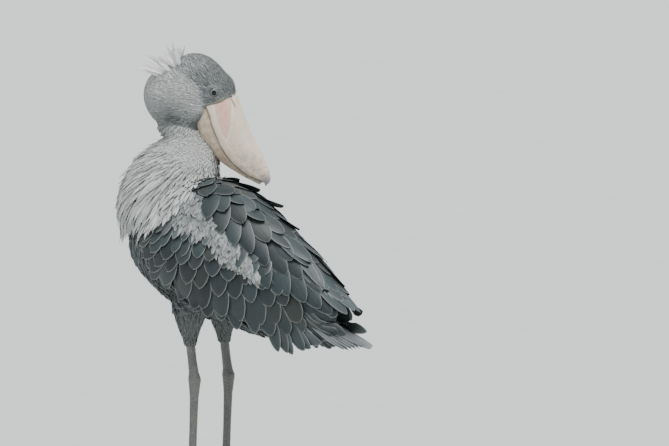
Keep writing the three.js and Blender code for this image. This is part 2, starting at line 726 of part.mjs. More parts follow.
function build() {
  const trunk = torso();
  const trunkClear = torso(GAP);
  const skullClear = skull(GAP);
  const upperClear = billUpper(GAP);
  const lowerClear = billLower(GAP);

  const eyes = [1, -1].map((side) => eye(side));
  const eyesClear = join([1, -1].map((side) => eye(side, GAP)));
  const head = join([skull(), lid(1), lid(-1), ...crest()])
    .subtract(eyesClear).subtract(upperClear).subtract(lowerClear);
  add('head', head, PALE_PLUMAGE);
  add('eye_left', eyes[0], EYEBALL);
  add('eye_right', eyes[1], EYEBALL);
  add('bill_upper', billUpper().subtract(join(nostrils())), HORN);
  add('bill_lower', billLower().subtract(upperClear), HORN);

  const neck = join([neckCore(), ...capeLocks()])
    .subtract(join([trunkClear, skullClear, upperClear, lowerClear]));
  add('neck', neck, PALE_PLUMAGE);

  const wingRoom = join([trunkClear, capeRoom(), tailRoom()]);
  const wings = [1, -1].map((side) => join([wingCore(side), ...wingVanes(side)])
    .subtract(wingRoom)
    .trimByPlane([side, 0, 0], GAP));
  add('wing_left', wings[0], SLATE_PLUMAGE);
  add('wing_right', wings[1], SLATE_PLUMAGE);

  const wingsClear = join([1, -1].flatMap((side) => [wingCore(side, GAP), ...wingVanes(side, GAP)]));
  add('torso', trunk.add(join(mantle()).subtract(wingsClear).subtract(capeRoom())), PALE_PLUMAGE);
  add('tail', tail().subtract(trunkClear), TAIL_PLUMAGE);

  [['left', 1], ['right', -1]].forEach(([word, side]) => {
    add(`thigh_${word}`, limb(THIGH, 7, side).subtract(trunkClear).subtract(wingsClear), PALE_PLUMAGE);
    add(`shank_${word}`, limb(SHANK, 12, side), LEG_SCALES);
    let taken = limb(SHANK, 12, side, GAP);
    TOES.forEach((toe) => {
      add(`toe_${toe.name}_${word}`, toeSolid(toe, side).subtract(taken), LEG_SCALES);
      taken = taken.add(toeSolid(toe, side, GAP));
      add(`claw_${toe.name}_${word}`, claw(toe, side), CLAW_HORN);
    });
  });
}

build();

export default shoebill;
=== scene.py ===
# %% [markdown]
# # A shoebill that stands and looks back over its shoulder
# The bird is a still, life-size model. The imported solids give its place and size, and this lesson dresses
# them: a skin for the flesh, a finer bill, eyes, legs and claws, and then the plumage, feather by feather.

# %% Load the fixed frame
import math

import bpy
import numpy as np
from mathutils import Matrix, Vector
from mathutils.bvhtree import BVHTree
from mathutils.kdtree import KDTree


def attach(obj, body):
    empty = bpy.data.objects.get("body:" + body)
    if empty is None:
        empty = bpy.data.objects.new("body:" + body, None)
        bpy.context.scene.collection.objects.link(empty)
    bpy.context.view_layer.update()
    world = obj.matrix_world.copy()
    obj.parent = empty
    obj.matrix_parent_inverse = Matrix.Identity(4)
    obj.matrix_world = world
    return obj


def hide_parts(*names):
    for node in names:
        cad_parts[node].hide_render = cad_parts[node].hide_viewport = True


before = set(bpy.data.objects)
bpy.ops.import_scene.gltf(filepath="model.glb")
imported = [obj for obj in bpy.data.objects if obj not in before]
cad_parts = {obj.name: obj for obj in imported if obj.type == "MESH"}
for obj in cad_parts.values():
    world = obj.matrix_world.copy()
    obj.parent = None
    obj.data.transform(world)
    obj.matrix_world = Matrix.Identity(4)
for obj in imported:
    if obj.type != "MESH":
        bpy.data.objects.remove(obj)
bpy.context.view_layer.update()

bpy.ops.object.select_all(action="DESELECT")
MM = 0.001
SIDES = ((1, "left"), (-1, "right"))

# %% [markdown]
# ## The camera
# The photograph was taken with a long lens from behind the bird's left shoulder, a little above its back.
# A long lens is far away and narrow, so that near and far feathers keep nearly one scale.

# %% Camera
AIM = Vector((-0.121, 0.160, 0.601))
CAMERA_AZIMUTH = math.radians(127)
CAMERA_RISE = math.radians(4)
CAMERA_DISTANCE = 13.0
VIEW_WIDTH = 1.505
SENSOR = 36.0

towards_camera = Vector((
    math.sin(CAMERA_AZIMUTH) * math.cos(CAMERA_RISE),
    -math.cos(CAMERA_AZIMUTH) * math.cos(CAMERA_RISE),
    math.sin(CAMERA_RISE),
))
bpy.ops.object.camera_add(location=AIM + towards_camera * CAMERA_DISTANCE)
camera = bpy.context.object
camera.rotation_euler = (-towards_camera).to_track_quat("-Z", "Y").to_euler()
camera.data.sensor_width = SENSOR
camera.data.lens = SENSOR * CAMERA_DISTANCE / VIEW_WIDTH
camera.data.clip_end = 300
bpy.context.scene.camera = camera
print("lens", round(camera.data.lens), "mm")

# %% [markdown]
# ## Words for wiring nodes
# Every finish in this lesson is a net of nodes. A small class gives short words for the few kinds of node
# that the nets need, and a second one makes a material and feeds its surface shader.

# %% Wiring
class Wiring:
    """Short words for adding and linking nodes in one tree. Each word returns the new node's output."""

    def __init__(self, tree):
        self.tree = tree

    def put(self, socket, value):
        """Feeds a socket from another node's output, or sets it to a value."""
        if isinstance(value, bpy.types.NodeSocket):
            self.tree.links.new(value, socket)
        else:
            socket.default_value = value

    def node(self, kind, inputs, output=0, **settings):
        node = self.tree.nodes.new("ShaderNode" + kind)
        for setting, value in settings.items():
            setattr(node, setting, value)
        for label, value in inputs.items():
            self.put(node.inputs[label], value)
        return node.outputs[output]

    def math(self, operation, *values, clamp=False):
        return self.node("Math", dict(enumerate(values)), operation=operation, use_clamp=clamp)

    def times(self, a, b, clamp=False):
        return self.math("MULTIPLY", a, b, clamp=clamp)

    def plus(self, a, b, clamp=False):
        return self.math("ADD", a, b, clamp=clamp)

    def minus(self, a, b):
        return self.math("SUBTRACT", a, b)

    def scaled(self, value, factor, shift):
        return self.math("MULTIPLY_ADD", value, factor, shift)

    def smooth(self, value, low, high, start=0.0, end=1.0):
        """Runs smoothly from start, where the value is low, to end, where it is high."""
        return self.node("MapRange", {
            "Value": value, "From Min": low, "From Max": high, "To Min": start, "To Max": end,
        }, "Result", interpolation_type="SMOOTHSTEP")

    def noise(self, vector, scale, detail=2.0, distortion=0.0):
        return self.node("TexNoise", {
            "Vector": vector, "Scale": scale, "Detail": detail, "Distortion": distortion,
        }, "Fac")

    def ramp(self, value, stops):
        colour = self.node("ValToRGB", {"Fac": value}, "Color")
        ramp = colour.node.color_ramp
        while len(ramp.elements) < len(stops):
            ramp.elements.new(0.5)
        for element, (position, tone) in zip(ramp.elements, stops):
            element.position = position
            element.color = (*tone, 1)
        return colour

    def mix(self, part, first, second, kind="MIX"):
        a, b = (c if isinstance(c, bpy.types.NodeSocket) else (*c, 1) for c in (first, second))
        sockets = {"Factor": part, "A": a, "B": b}
        return self.node("Mix", sockets, "Result", data_type="RGBA", blend_type=kind)

    def attribute(self, name, output="Fac"):
        return self.node("Attribute", {}, output, attribute_name=name)

    def object_place(self):
        return self.node("TexCoord", {}, "Object")

    def uv(self, name):
        return self.node("UVMap", {}, "UV", uv_map=name)

    def stretched(self, vector, scale):
        return self.node("Mapping", {"Vector": vector, "Scale": scale})

    def split(self, vector):
        """The three numbers of a vector."""
        return tuple(self.node("SeparateXYZ", {"Vector": vector}).node.outputs)

    def group(self, tree, inputs):
        """A node group's outputs by name."""
        return self.node("Group", inputs, node_tree=tree).node.outputs

    def bump(self, height, distance, strength):
        return self.node("Bump", {"Height": height, "Distance": distance, "Strength": strength})


class Finish(Wiring):
    """The wiring of a new material."""

    def __init__(self, name):
        self.material = bpy.data.materials.new(name)
        self.material.use_nodes = True
        super().__init__(self.material.node_tree)

    def surface(self, inputs):
        """Feeds the surface shader, and returns the material."""
        shader = self.tree.nodes["Principled BSDF"]
        for label, value in inputs.items():
            self.put(shader.inputs[label], value)
        return self.material

# %% [markdown]
# ## Floor and light
# A wide pale floor fills the picture behind the bird, and its light is that of a bright overcast day: a
# pale sky all round and one broad, soft sun from above, so that shadows have no hard edge.

# %% Floor
FLOOR_SIZE = 240.0
FLOOR_TONES = [(0, (0.62, 0.63, 0.61)), (1, (0.68, 0.69, 0.67))]

bpy.ops.mesh.primitive_plane_add(size=FLOOR_SIZE)
floor = bpy.context.object
floor.name = "floor"
wire = Finish("pale_floor")
tint = wire.ramp(wire.noise(wire.object_place(), 3.0), FLOOR_TONES)
floor.data.materials.append(wire.surface({"Base Color": tint, "Roughness": 0.9}))

# %% Sky and sun
SKY_COLOUR = (0.86, 0.92, 1.0, 1)
SKY_STRENGTH = 0.62
SUN_STRENGTH = 4.2
SUN_BREADTH = math.radians(40)
SUN_FROM = Vector((0.15, 0.35, 1.0))

world = bpy.data.worlds.new("overcast")
world.use_nodes = True
sky = world.node_tree.nodes["Background"]
sky.inputs["Color"].default_value = SKY_COLOUR
sky.inputs["Strength"].default_value = SKY_STRENGTH
bpy.context.scene.world = world
bpy.ops.object.light_add(type="SUN", location=(0, 0, 4))
sun = bpy.context.object
sun.data.energy = SUN_STRENGTH
sun.data.angle = SUN_BREADTH
sun.rotation_euler = SUN_FROM.to_track_quat("Z", "Y").to_euler()

# %% [markdown]
# ## The forms under the feathers
# A bird's outline is a few full, rounded forms. Each is given here by stations: numbers measured every few
# centimetres along it, with a smooth curve run through them. The stations are in millimetres, in the frame
# that the solids were laid out in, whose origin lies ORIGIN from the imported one.

# %% Stations
ORIGIN = np.array([0.0, -105.0, 0.0])

# Distance back, height of the centre, half width, half depth up and down.
TORSO = [
    (-200, 540, 20, 20, 22), (-185, 545, 55, 50, 48), (-150, 555, 84, 88, 95), (-90, 560, 98, 120, 145),
    (-20, 555, 98, 138, 168), (60, 545, 96, 136, 170), (130, 520, 88, 112, 165), (195, 485, 70, 80, 138),
    (250, 456, 46, 48, 92), (290, 438, 26, 24, 44),
]
# Height, centre left and back, half width, half depth.
NECK = [
    (575, 0, -116, 108, 100), (620, 0, -118, 113, 108), (680, -4, -117, 108, 104), (730, -12, -104, 95, 93),
    (762, -23, -94, 76, 74), (785, -32, -88, 53, 51), (802, -28, -98, 51, 50), (822, -24, -101, 53, 51),
    (845, -32, -94, 42, 40),
]
# Distance back, centre left and up, half thickness, half depth up and down.
WING = [
    (-138, 80, 560, 12, 20, 28), (-100, 84, 562, 32, 66, 80), (-40, 84, 562, 48, 116, 112),
    (30, 80, 553, 56, 136, 130), (90, 72, 538, 57, 134, 134), (150, 61, 515, 53, 122, 128),
    (230, 51, 476, 36, 100, 106), (300, 44, 445, 24, 72, 68), (350, 36, 420, 17, 40, 36),
    (385, 29, 402, 10, 16, 14),
]
WING_LEAN = 0.34
# Height, centre back, half width, half depth.
THIGH = [(452, 8, 40, 58), (410, -2, 36, 46), (370, -6, 26, 29), (340, -5, 16, 17), (322, -4, 12.5, 13.5)]
LEG_SPREAD = 62
TAIL_ROOT = np.array([0.0, 268.0, 420.0])
BILL_WIDTH = 104
# Distance forward, half width as a share, height of the ridge, of the cutting edge and of the underside.
BILL = [
    (3, 0.43, 73, 12, -32), (22, 0.47, 75, 6, -45), (60, 0.5, 60, -11, -56), (115, 0.47, 38, -27, -55),
    (165, 0.35, 25, -28, -43), (196, 0.22, 14, -20, -33), (214, 0.13, 6, -15, -26),
]
BILL_TIP = [(222, 0.09, 3, -14, -24), (228, 0.05, -5, -18, -22)]


def refine(stations, count):
    """Rows between the named stations, on a smooth curve through every column."""
    table = np.array(stations, float)
    padded = np.vstack([2 * table[0] - table[1], table, 2 * table[-1] - table[-2]])
    place = np.linspace(0, len(table) - 1, count)
    first = np.minimum(place.astype(int), len(table) - 2)
    part = (place - first)[:, None]
    a, b, c, d = (padded[first + k] for k in range(4))
    bend = (2 * a - 5 * b + 4 * c - d) * part**2 + (3 * b - a - 3 * c + d) * part**3
    return 0.5 * (2 * b + (c - a) * part + bend)


def at(rows, key):
    """The other columns of a table at the given values of its first column."""
    return [np.interp(key, rows[:, 0], rows[:, k]) for k in range(1, rows.shape[1])]


def packed(points):
    """Points in the stations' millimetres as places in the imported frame, in metres."""
    return (points + ORIGIN) * MM


def stations_of(places):
    """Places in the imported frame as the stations' millimetres."""
    return places / MM - ORIGIN

# %% [markdown]
# The head is turned right back and tipped down, so it has a frame of its own: left, forward along the bill
# and up through the crown. Everything on the head is measured in it and then brought home.

# %% The head's own frame
HEAD_PLACE = np.array([-50.0, -52.0, 857.0])
HEAD_TURN = math.radians(-143)
HEAD_PITCH = math.radians(48)
HEAD_ROLL = math.radians(-10)


def turn(axis, angle):
    """A rotation about one of the axes."""
    c, s = math.cos(angle), math.sin(angle)
    a, b = [(1, 2), (2, 0), (0, 1)][axis]
    matrix = np.eye(3)
    matrix[a, a] = matrix[b, b] = c
    matrix[b, a] = s
    matrix[a, b] = -s
    return matrix


HEAD_AXES = turn(2, HEAD_TURN) @ turn(0, HEAD_PITCH) @ turn(1, HEAD_ROLL)
FLIP = np.array([1.0, -1.0, 1.0])


def head_direction(direction):
    """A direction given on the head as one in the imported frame."""
    return (direction * FLIP) @ HEAD_AXES.T


def from_head(points):
    """Left, forward and up on the head, in millimetres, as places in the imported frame."""
    return packed(head_direction(points) + HEAD_PLACE)


def to_head(places):
    """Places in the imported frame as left, forward and up on the head, in millimetres."""
    return ((stations_of(places) - HEAD_PLACE) @ HEAD_AXES) * FLIP

# %% [markdown]
# ## Shaping a ball into a form
# Each form starts as a ball, because a ball is closed at both ends. Its rings slide to the stations, and
# its poles close the two caps.

# %% Reading and moving points
def vertices_of(item, field="co"):
    """The mesh's points as an array."""
    values = np.empty(len(item.data.vertices) * 3)
    item.data.vertices.foreach_get(field, values)
    return values.reshape(-1, 3)


def normals_of(item):
    """The mesh's outward directions at its points."""
    return vertices_of(item, "normal")


def move_points(item, points):
    """Puts the mesh's points in new places."""
    item.data.vertices.foreach_set("co", points.ravel())
    item.data.update()

# %% Lofted balls
def shaped_ball(name, sides, rings, place):
    """A ball whose points go to place(share from pole to pole, angle round, 1 or 0 at the poles)."""
    bpy.ops.mesh.primitive_uv_sphere_add(segments=sides, ring_count=rings)
    ball = bpy.context.object
    ball.name = name
    points = vertices_of(ball)
    share = np.arccos(np.clip(points[:, 2], -1, 1)) / math.pi
    angle = np.arctan2(points[:, 0], points[:, 1])
    open_part = ((share > 0.5 / rings) & (share < 1 - 0.5 / rings)).astype(float)
    along = np.clip((share - 1 / rings) / (1 - 2 / rings), 0, 1)
    move_points(ball, place(along, angle, open_part))
    return ball


def columns(stations, along):
    """Every column of the stations at a share of the way from the first to the last."""
    rows = refine(stations, 200)
    return [np.interp(along, np.linspace(0, 1, 200), rows[:, k]) for k in range(rows.shape[1])]


def torso_place(along, angle, open_part):
    y, z, wide, up, down = columns(TORSO, along)
    depth = np.where(np.cos(angle) > 0, up, down)
    return packed(np.stack([
        open_part * wide * np.sin(angle), y, z + open_part * depth * np.cos(angle),
    ], -1))


def round_place(stations, side_shift, grow=0):
    """The place of a form whose stations give height, centre, half width and half depth."""
    def place(along, angle, open_part):
        values = columns(stations, along)
        z, y, wide, deep = values[0], values[-3], values[-2] + grow, values[-1] + grow
        x = values[1] if len(values) == 5 else side_shift
        return packed(np.stack([
            x + open_part * wide * np.sin(angle), y + open_part * deep * np.cos(angle), z,
        ], -1))
    return place


def wing_place(side, grow=0):
    """The folded wing's own form."""
    def place(along, angle, open_part):
        y, x, z, thick, up, down = columns(WING, along)
        depth = np.where(np.cos(angle) > 0, up, down) + grow
        lean = WING_LEAN * np.maximum(0, np.cos(angle)) * depth * open_part
        return packed(np.stack([
            side * (x + open_part * (thick + grow) * np.sin(angle) - lean), y,
            z + open_part * depth * np.cos(angle),
        ], -1))
    return place

# %% The head's form
HEAD_BALLS = [
    ((0, -47, 34), (45, 70, 56)), ((0, -4, 48), (38, 34, 41)), ((0, -10, -20), (46, 40, 48)),
    ((0, -56, -36), (58, 74, 66)),
]
HEAD_HEART = np.array([0.0, -40.0, 10.0])
# Where the ruff of the cheek ends against crown and face: its height by the distance forward.
RUFF_FORWARD = [-125, -99, -69, -37, -12, 5, 17]
RUFF_UP = [10, 20, 31, 33, 24, 10, 0]
RUFF_RISE = 3.5


def head_field(points):
    """Over 1 inside the head, under 1 outside it: the sum of one soft field for each ball."""
    return sum(
        np.exp(-7 * (np.linalg.norm((points - np.array(c)) / np.array(size), axis=-1) - 1))
        for c, size in HEAD_BALLS
    )


def step(low, high, value):
    """A smooth step from 0 at low to 1 at high."""
    part = np.clip((value - low) / (high - low), 0, 1)
    return part * part * (3 - 2 * part)


def ruff(points):
    """1 on the pale ruff of cheek and nape, 0 on crown and face."""
    edge = np.interp(points[..., 1], RUFF_FORWARD, RUFF_UP)
    return step(-3, 5, edge - points[..., 2]) * step(20, 2, points[..., 1])


def out_to_head(direction):
    """Each direction from the head's heart, sent out to where the field is 1."""
    near = np.zeros(len(direction))
    far = np.full(len(direction), 200.0)
    for _ in range(24):
        middle = (near + far) / 2
        inside = head_field(HEAD_HEART + direction * middle[:, None]) > 1
        near = np.where(inside, middle, near)
        far = np.where(inside, far, middle)
    return HEAD_HEART + direction * near[:, None]


def head_place(along, angle, open_part):
    polar = along * math.pi * 0.994 + 0.003 * math.pi
    direction = np.stack([
        np.sin(polar) * np.sin(angle), np.sin(polar) * np.cos(angle), np.cos(polar),
    ], -1)
    direction[open_part == 0, :2] = 0
    points = out_to_head(direction)
    return from_head(points + direction * RUFF_RISE * ruff(points)[:, None])

# %% [markdown]
# The skin of the face runs out over the root of the bill, as far as a slanting edge. It is a sleeve with
# the bill's own section, a little wider.

# %% The sleeve of the face
FACE_UP = [-60, 8, 20, 34, 46, 58, 64, 74]
FACE_EDGE = [-2, 2, 7, 14, 18.5, 21.5, 25, 27]
SLEEVE_START = -16
SLEEVE_RISE = 3.0


def bill_ring(forward, angle, grow=0.0):
    """Left and up on the upper bill's section, and the height of its cutting edge."""
    rows = refine(BILL + BILL_TIP, 200)
    wide, ridge, edge, under = at(rows, forward)
    flank = np.sign(np.sin(angle)) * np.abs(np.sin(angle)) ** 0.8
    rise = np.maximum(0, np.cos(angle)) ** 0.85 * (ridge - edge + grow)
    return flank * (wide * BILL_WIDTH + grow), edge + rise, edge


def face_place(along, angle, open_part):
    left, up, edge = bill_ring(np.full(len(along), 20.0), angle)
    forward = SLEEVE_START + along * (np.interp(up, FACE_UP, FACE_EDGE) - SLEEVE_START)
    left, up, edge = bill_ring(forward, angle, SLEEVE_RISE)
    middle = edge + 20
    return from_head(np.stack([left * open_part, forward, middle + (up - middle) * open_part], -1))

# %% [markdown]
# ## One skin
# The forms are joined, and a voxel remesh makes one closed skin of them: it keeps only the outside, so the
# seams between neck, body, wings and thighs go. A few rounds of smoothing soften the creases.

# %% Joining forms
def pick(*items):
    """Selects only these objects, and makes the first one active."""
    bpy.ops.object.select_all(action="DESELECT")
    for item in items:
        item.select_set(True)
    bpy.context.view_layer.objects.active = items[0]


def joined(objects, name):
    """The objects as one."""
    pick(*objects)
    bpy.ops.object.join()
    objects[0].name = name
    return objects[0]


def remade(item, voxel, rounds):
    """Gives the object one closed and evenly meshed surface, and smooths it."""
    remesh = item.modifiers.new("remesh", "REMESH")
    remesh.mode = "VOXEL"
    remesh.voxel_size = voxel
    smooth = item.modifiers.new("smooth", "SMOOTH")
    smooth.factor = 0.5
    smooth.iterations = rounds
    pick(item)
    for modifier in list(item.modifiers):
        bpy.ops.object.modifier_apply(modifier=modifier.name)
    return item


def rump():
    """A flat cushion under the root of the tail."""
    bpy.ops.mesh.primitive_uv_sphere_add(segments=32, ring_count=20)
    ball = bpy.context.object
    move_points(ball, packed(vertices_of(ball) * (28, 52, 14) + TAIL_ROOT + (0, 18, -10)))
    return ball

# %% The skin
SKIN_VOXEL = 0.0034

skin = remade(joined([
    shaped_ball("torso_form", 64, 80, torso_place),
    shaped_ball("neck_form", 64, 60, round_place(NECK, 0)),
    shaped_ball("head_form", 96, 72, head_place),
    shaped_ball("face_form", 96, 40, face_place),
    *(shaped_ball("wing_form", 48, 70, wing_place(side)) for side, _ in SIDES),
    *(shaped_ball("thigh_form", 32, 40, round_place(THIGH, side * LEG_SPREAD)) for side, _ in SIDES),
    rump(),
], "skin"), SKIN_VOXEL, 6)
print("skin", len(skin.data.polygons), "faces")

# %% [markdown]
# ## Surfaces that feathers lie on
# A feather follows the body under it. A carrier is a surface that answers one question: where on it is the
# nearest place, and which way is out there? The form of the body is one, and the cape of the neck has a
# fuller one that runs on down over breast and wings, so that its fringe hangs free.

# %% Carriers
def unit(vectors):
    """The vectors at length 1."""
    return vectors / np.maximum(np.linalg.norm(vectors, axis=-1, keepdims=True), 1e-9)


def tree_of(points):
    """A search tree that finds the points nearest to a place."""
    tree = KDTree(len(points))
    for number, point in enumerate(points):
        tree.insert(point, number)
    tree.balance()
    return tree


class Carrier:
    """A surface that feathers are laid on."""

    def __init__(self, item):
        self.points = vertices_of(item)
        self.normals = normals_of(item)
        self.tree = tree_of(self.points)
        faces = [tuple(face.vertices) for face in item.data.polygons]
        self.faces = BVHTree.FromPolygons(self.points.tolist(), faces)
        self.quads = np.array(faces)

    def near(self, points):
        """The nearest places and the smooth outward directions there."""
        flat = points.reshape(-1, 3)
        places = np.array([self.faces.find_nearest(p)[0][:] for p in flat.tolist()])
        nearest = [self.tree.find(p)[1] for p in places.tolist()]
        return places.reshape(points.shape), self.normals[nearest].reshape(points.shape)

    def scatter(self, where, gap, rng):
        """Roots on the faces whose centres pass where, about gap millimetres from each other."""
        corners = self.points[self.quads]
        centres = corners.mean(1)
        wanted = where(centres, unit(self.normals[self.quads].mean(1)))
        corners = corners[wanted]
        diagonals = corners[:, 2] - corners[:, 0], corners[:, 3] - corners[:, 1]
        area = np.linalg.norm(np.cross(*diagonals), axis=1) / 2
        draws = rng.poisson(3.0 * area / (gap(centres[wanted]) * MM) ** 2)
        a, b, c, d = np.repeat(corners, draws, axis=0).transpose(1, 0, 2)
        u, v = rng.random((2, len(a), 1))
        points = (a * (1 - u) + b * u) * (1 - v) + (d * (1 - u) + c * u) * v
        return points[spread_out(points, gap(points) * MM, rng)]


body = Carrier(skin)

CAPE_ROWS = [(500, 0, -112, 104, 96), (540, 0, -114, 108, 100)] + NECK
cape_form = remade(joined([
    shaped_ball("cape_torso", 48, 60, torso_place),
    shaped_ball("cape_neck", 64, 60, round_place(CAPE_ROWS, 0)),
    *(shaped_ball("cape_wing", 48, 60, wing_place(side, 6)) for side, _ in SIDES),
], "cape_form"), 0.006, 8)
cape = Carrier(cape_form)
bpy.data.objects.remove(cape_form)

# %% Choosing roots
def spread_out(points, spacing, rng):
    """Numbers of points picked in random order, none nearer to another than the spacing at its place."""
    cells = {}
    chosen = []
    size = float(np.min(spacing))
    reach = int(math.ceil(float(np.max(spacing)) / size))
    around = [
        (i, j, k) for i in range(-reach, reach + 1) for j in range(-reach, reach + 1)
        for k in range(-reach, reach + 1)
    ]
    for number in rng.permutation(len(points)):
        point = points[number]
        cell = tuple((point / size).astype(int))
        room = spacing[number] ** 2
        clear = True
        for i, j, k in around:
            for other in cells.get((cell[0] + i, cell[1] + j, cell[2] + k), ()):
                if ((points[other] - point) ** 2).sum() < room:
                    clear = False
                    break
            if not clear:
                break
        if clear:
            cells.setdefault(cell, []).append(number)
            chosen.append(number)
    return np.array(chosen)

# %% Running a feather over a surface
def run_over(carrier, roots, heading, lengths, rows):
    """Places and outward directions at each row of feathers that start at roots and keep their heading."""
    place, normal = carrier.near(roots)
    places = [place]
    normals = [normal]
    for before, share in zip(rows[:-1], rows[1:]):
        heading = unit(heading - (heading * normal).sum(-1, keepdims=True) * normal)
        ahead = place + heading * (lengths * (share - before))[:, None]
        place, normal = carrier.near(ahead)
        places.append(place)
        normals.append(normal)
    return np.stack(places, 1), np.stack(normals, 1)

# %% [markdown]
# ## How one feather is made
# Seen across, a feather is a thin shell: a slightly arched upper face and a lower face that meet at the
# edges. Seen along, its breadth grows from the quill to the belly of the vane and closes to a tip. All the
# feathers of a tract are made at once: arrays hold their rows, and one mesh joins them.
#
# Each feather takes four things with it for its finish: a map of its own vane in real size, the distance
# to its rim, a shade, and a chance number that sets it apart from its neighbours.

# %% Outline of a vane
def breadths(rows, quill, belly, power, blunt=1.0, tip=0.03):
    """The share of the full breadth at each row. A pointed tip has blunt 1, a round one about 0.5."""
    rise = quill + (1 - quill) * np.sin(np.clip(rows / belly, 0, 1) * math.pi / 2)
    close = (1 - np.clip((rows - belly) / (1 - belly), 0, 1) ** power) ** blunt
    return rise * np.maximum(close, tip)


# The rows of a small tuft, a pointed feather, a rounded body feather and a broad vane, from root to tip.
TUFT = np.array([0, 0.36, 0.72, 1])
LANCE = np.array([0, 0.15, 0.35, 0.55, 0.75, 0.9, 1])
ROUND_TUFT = np.array([0, 0.25, 0.5, 0.72, 0.88, 0.97, 1])
BROAD = np.array([0, 0.12, 0.28, 0.45, 0.6, 0.72, 0.82, 0.9, 0.955, 0.985, 1])

# %% A mesh from arrays
SHARP_EDGE = math.radians(60)


def remember(item, name, kind, values):
    """Stores a number or a vector at each point for the finish."""
    attribute = item.data.attributes.new(name, kind, "POINT")
    field = "vector" if kind == "FLOAT_VECTOR" else "value"
    attribute.data.foreach_set(field, np.ascontiguousarray(values, np.float32).ravel())


def shell_mesh(name, points):
    """Closed shells as one object, from points in feathers, rows and rings. Returns its corners too."""
    count, row_count, ring = points.shape[:3]
    number = np.arange(count * row_count * ring).reshape(count, row_count, ring)
    turned = np.roll(number, -1, axis=2)
    sides = np.stack([number[:, :-1], number[:, 1:], turned[:, 1:], turned[:, :-1]], -1).reshape(-1)
    corners = np.concatenate([sides, number[:, 0, :].reshape(-1), number[:, -1, ::-1].reshape(-1)])
    sizes = np.concatenate([np.full(len(sides) // 4, 4), np.full(2 * count, ring)])
    mesh = bpy.data.meshes.new(name)
    mesh.vertices.add(count * row_count * ring)
    mesh.vertices.foreach_set("co", points.astype(np.float32).ravel())
    mesh.loops.add(len(corners))
    mesh.loops.foreach_set("vertex_index", corners.astype(np.int32))
    mesh.polygons.add(len(sizes))
    mesh.polygons.foreach_set("loop_start", np.concatenate([[0], np.cumsum(sizes)[:-1]]).astype(np.int32))
    mesh.polygons.foreach_set("use_smooth", np.ones(len(sizes), bool))
    mesh.update(calc_edges=True)
    item = bpy.data.objects.new(name, mesh)
    bpy.context.collection.objects.link(item)
    return item, corners

# %% Feathers from arrays
def make_feathers(
    name, places, normals, rows, outline, width, length, shade, spot,
    sink=3.0, lift=5.0, thick=0.8, arch=0.1, tilt=0.0, across_count=3, ragged=0.05, seed=1, patch=0.003,
    sharp_edges=False, lift_power=0.7, curl=0.0,
):
    """One mesh of feathers whose middles run through places. Sizes are in millimetres."""
    rng = np.random.default_rng(seed)
    count, row_count = places.shape[:2]
    width, length, sink, lift, tilt, curl = (
        np.broadcast_to(v, count)[:, None] * MM for v in (width, length, sink, lift, tilt, curl)
    )
    along = unit(np.gradient(places, axis=1))
    across = unit(np.cross(normals, along))
    rise = -sink + (sink + lift) * rows**lift_power + curl * rows**3
    middle = places + normals * rise[..., None]

    steps = np.linspace(-1, 1, across_count)
    steps = np.sign(steps) * np.abs(steps) ** 0.8
    breadth = outline[None, :] * (1 + ragged * rng.standard_normal((count, row_count)))
    half = width / 2 * np.clip(breadth, 0.01, 1.4)
    ring_steps = np.concatenate([steps, steps[-2:0:-1]])
    ring_face = np.concatenate([np.ones(across_count), -np.ones(across_count - 2)])
    thickness = thick * MM * (0.35 + 0.65 * (1 - rows))[None, :, None]
    height = (
        -arch * half[..., None] * ring_steps**2
        + tilt[..., None] * ring_steps * np.minimum(1, rows * 4)[None, :, None]
        + ring_face * (1 - ring_steps**2) * thickness / 2
    )
    points = (
        middle[:, :, None, :]
        + across[:, :, None, :] * (half[..., None] * ring_steps)[..., None]
        + normals[:, :, None, :] * height[..., None]
    )
    item, corners = shell_mesh(name, points)

    def everywhere(values):
        return np.broadcast_to(values, points.shape[:3])

    across_vane = everywhere(half[..., None] * ring_steps)
    along_vane = everywhere((length * rows)[..., None])
    rim = np.minimum(half[..., None] * (1 - np.abs(ring_steps)), (length * (1 - rows))[..., None] * 0.8)
    remember(item, "rim", "FLOAT", rim / MM)
    remember(item, "across", "FLOAT", across_vane / MM)
    remember(item, "shade", "FLOAT", everywhere(np.broadcast_to(shade, count)[:, None, None]))
    remember(item, "chance", "FLOAT", everywhere(rng.random(count)[:, None, None]))
    vane_map = np.stack([across_vane, along_vane], -1).reshape(-1, 2) * 10 + 0.5
    own = np.stack([everywhere(0.5 + 0.5 * ring_steps), everywhere(rows[None, :, None])], -1)
    bake_map = (spot[:, None, None, :] * (1 - patch) + own * patch).reshape(-1, 2)
    mesh = item.data
    for layer, values in (("Vane", vane_map), ("OFBake", bake_map)):
        uv = mesh.uv_layers.new(name=layer)
        uv.data.foreach_set("uv", values[corners].astype(np.float32).ravel())
    mesh.uv_layers.active = mesh.uv_layers["Vane"]
    mesh.validate()
    if sharp_edges:
        pick(item)
        bpy.ops.object.shade_smooth_by_angle(angle=SHARP_EDGE)
    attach(item, "root")
    print(name, count, "feathers,", sum(len(p.vertices) - 2 for p in mesh.polygons), "triangles")
    return item

# %% The unwrap that the bake map uses
def sleeve_spot(sideways, upright, along):
    """Round an axis and along it, both from 0 to 1: an unwrap of the skin as a long sleeve."""
    round_part = np.arctan2(sideways, upright) / (2 * math.pi) + 0.5
    return np.clip(np.stack([round_part, along], -1), 0, 1)


def spot_on_body(places):
    x, y, z = stations_of(places).T
    centre = np.interp(y, [-200, -90, 60, 195, 290], [600, 600, 540, 485, 438])
    return sleeve_spot(x, z - centre, (y + 240) / 560)


def spot_on_neck(places):
    x, y, z = stations_of(places).T
    return sleeve_spot(x + 10, -(y + 110), (z - 480) / 420)


def spot_on_head(places):
    left, forward, up = to_head(places).T
    return sleeve_spot(left, up, (forward + 140) / 190)


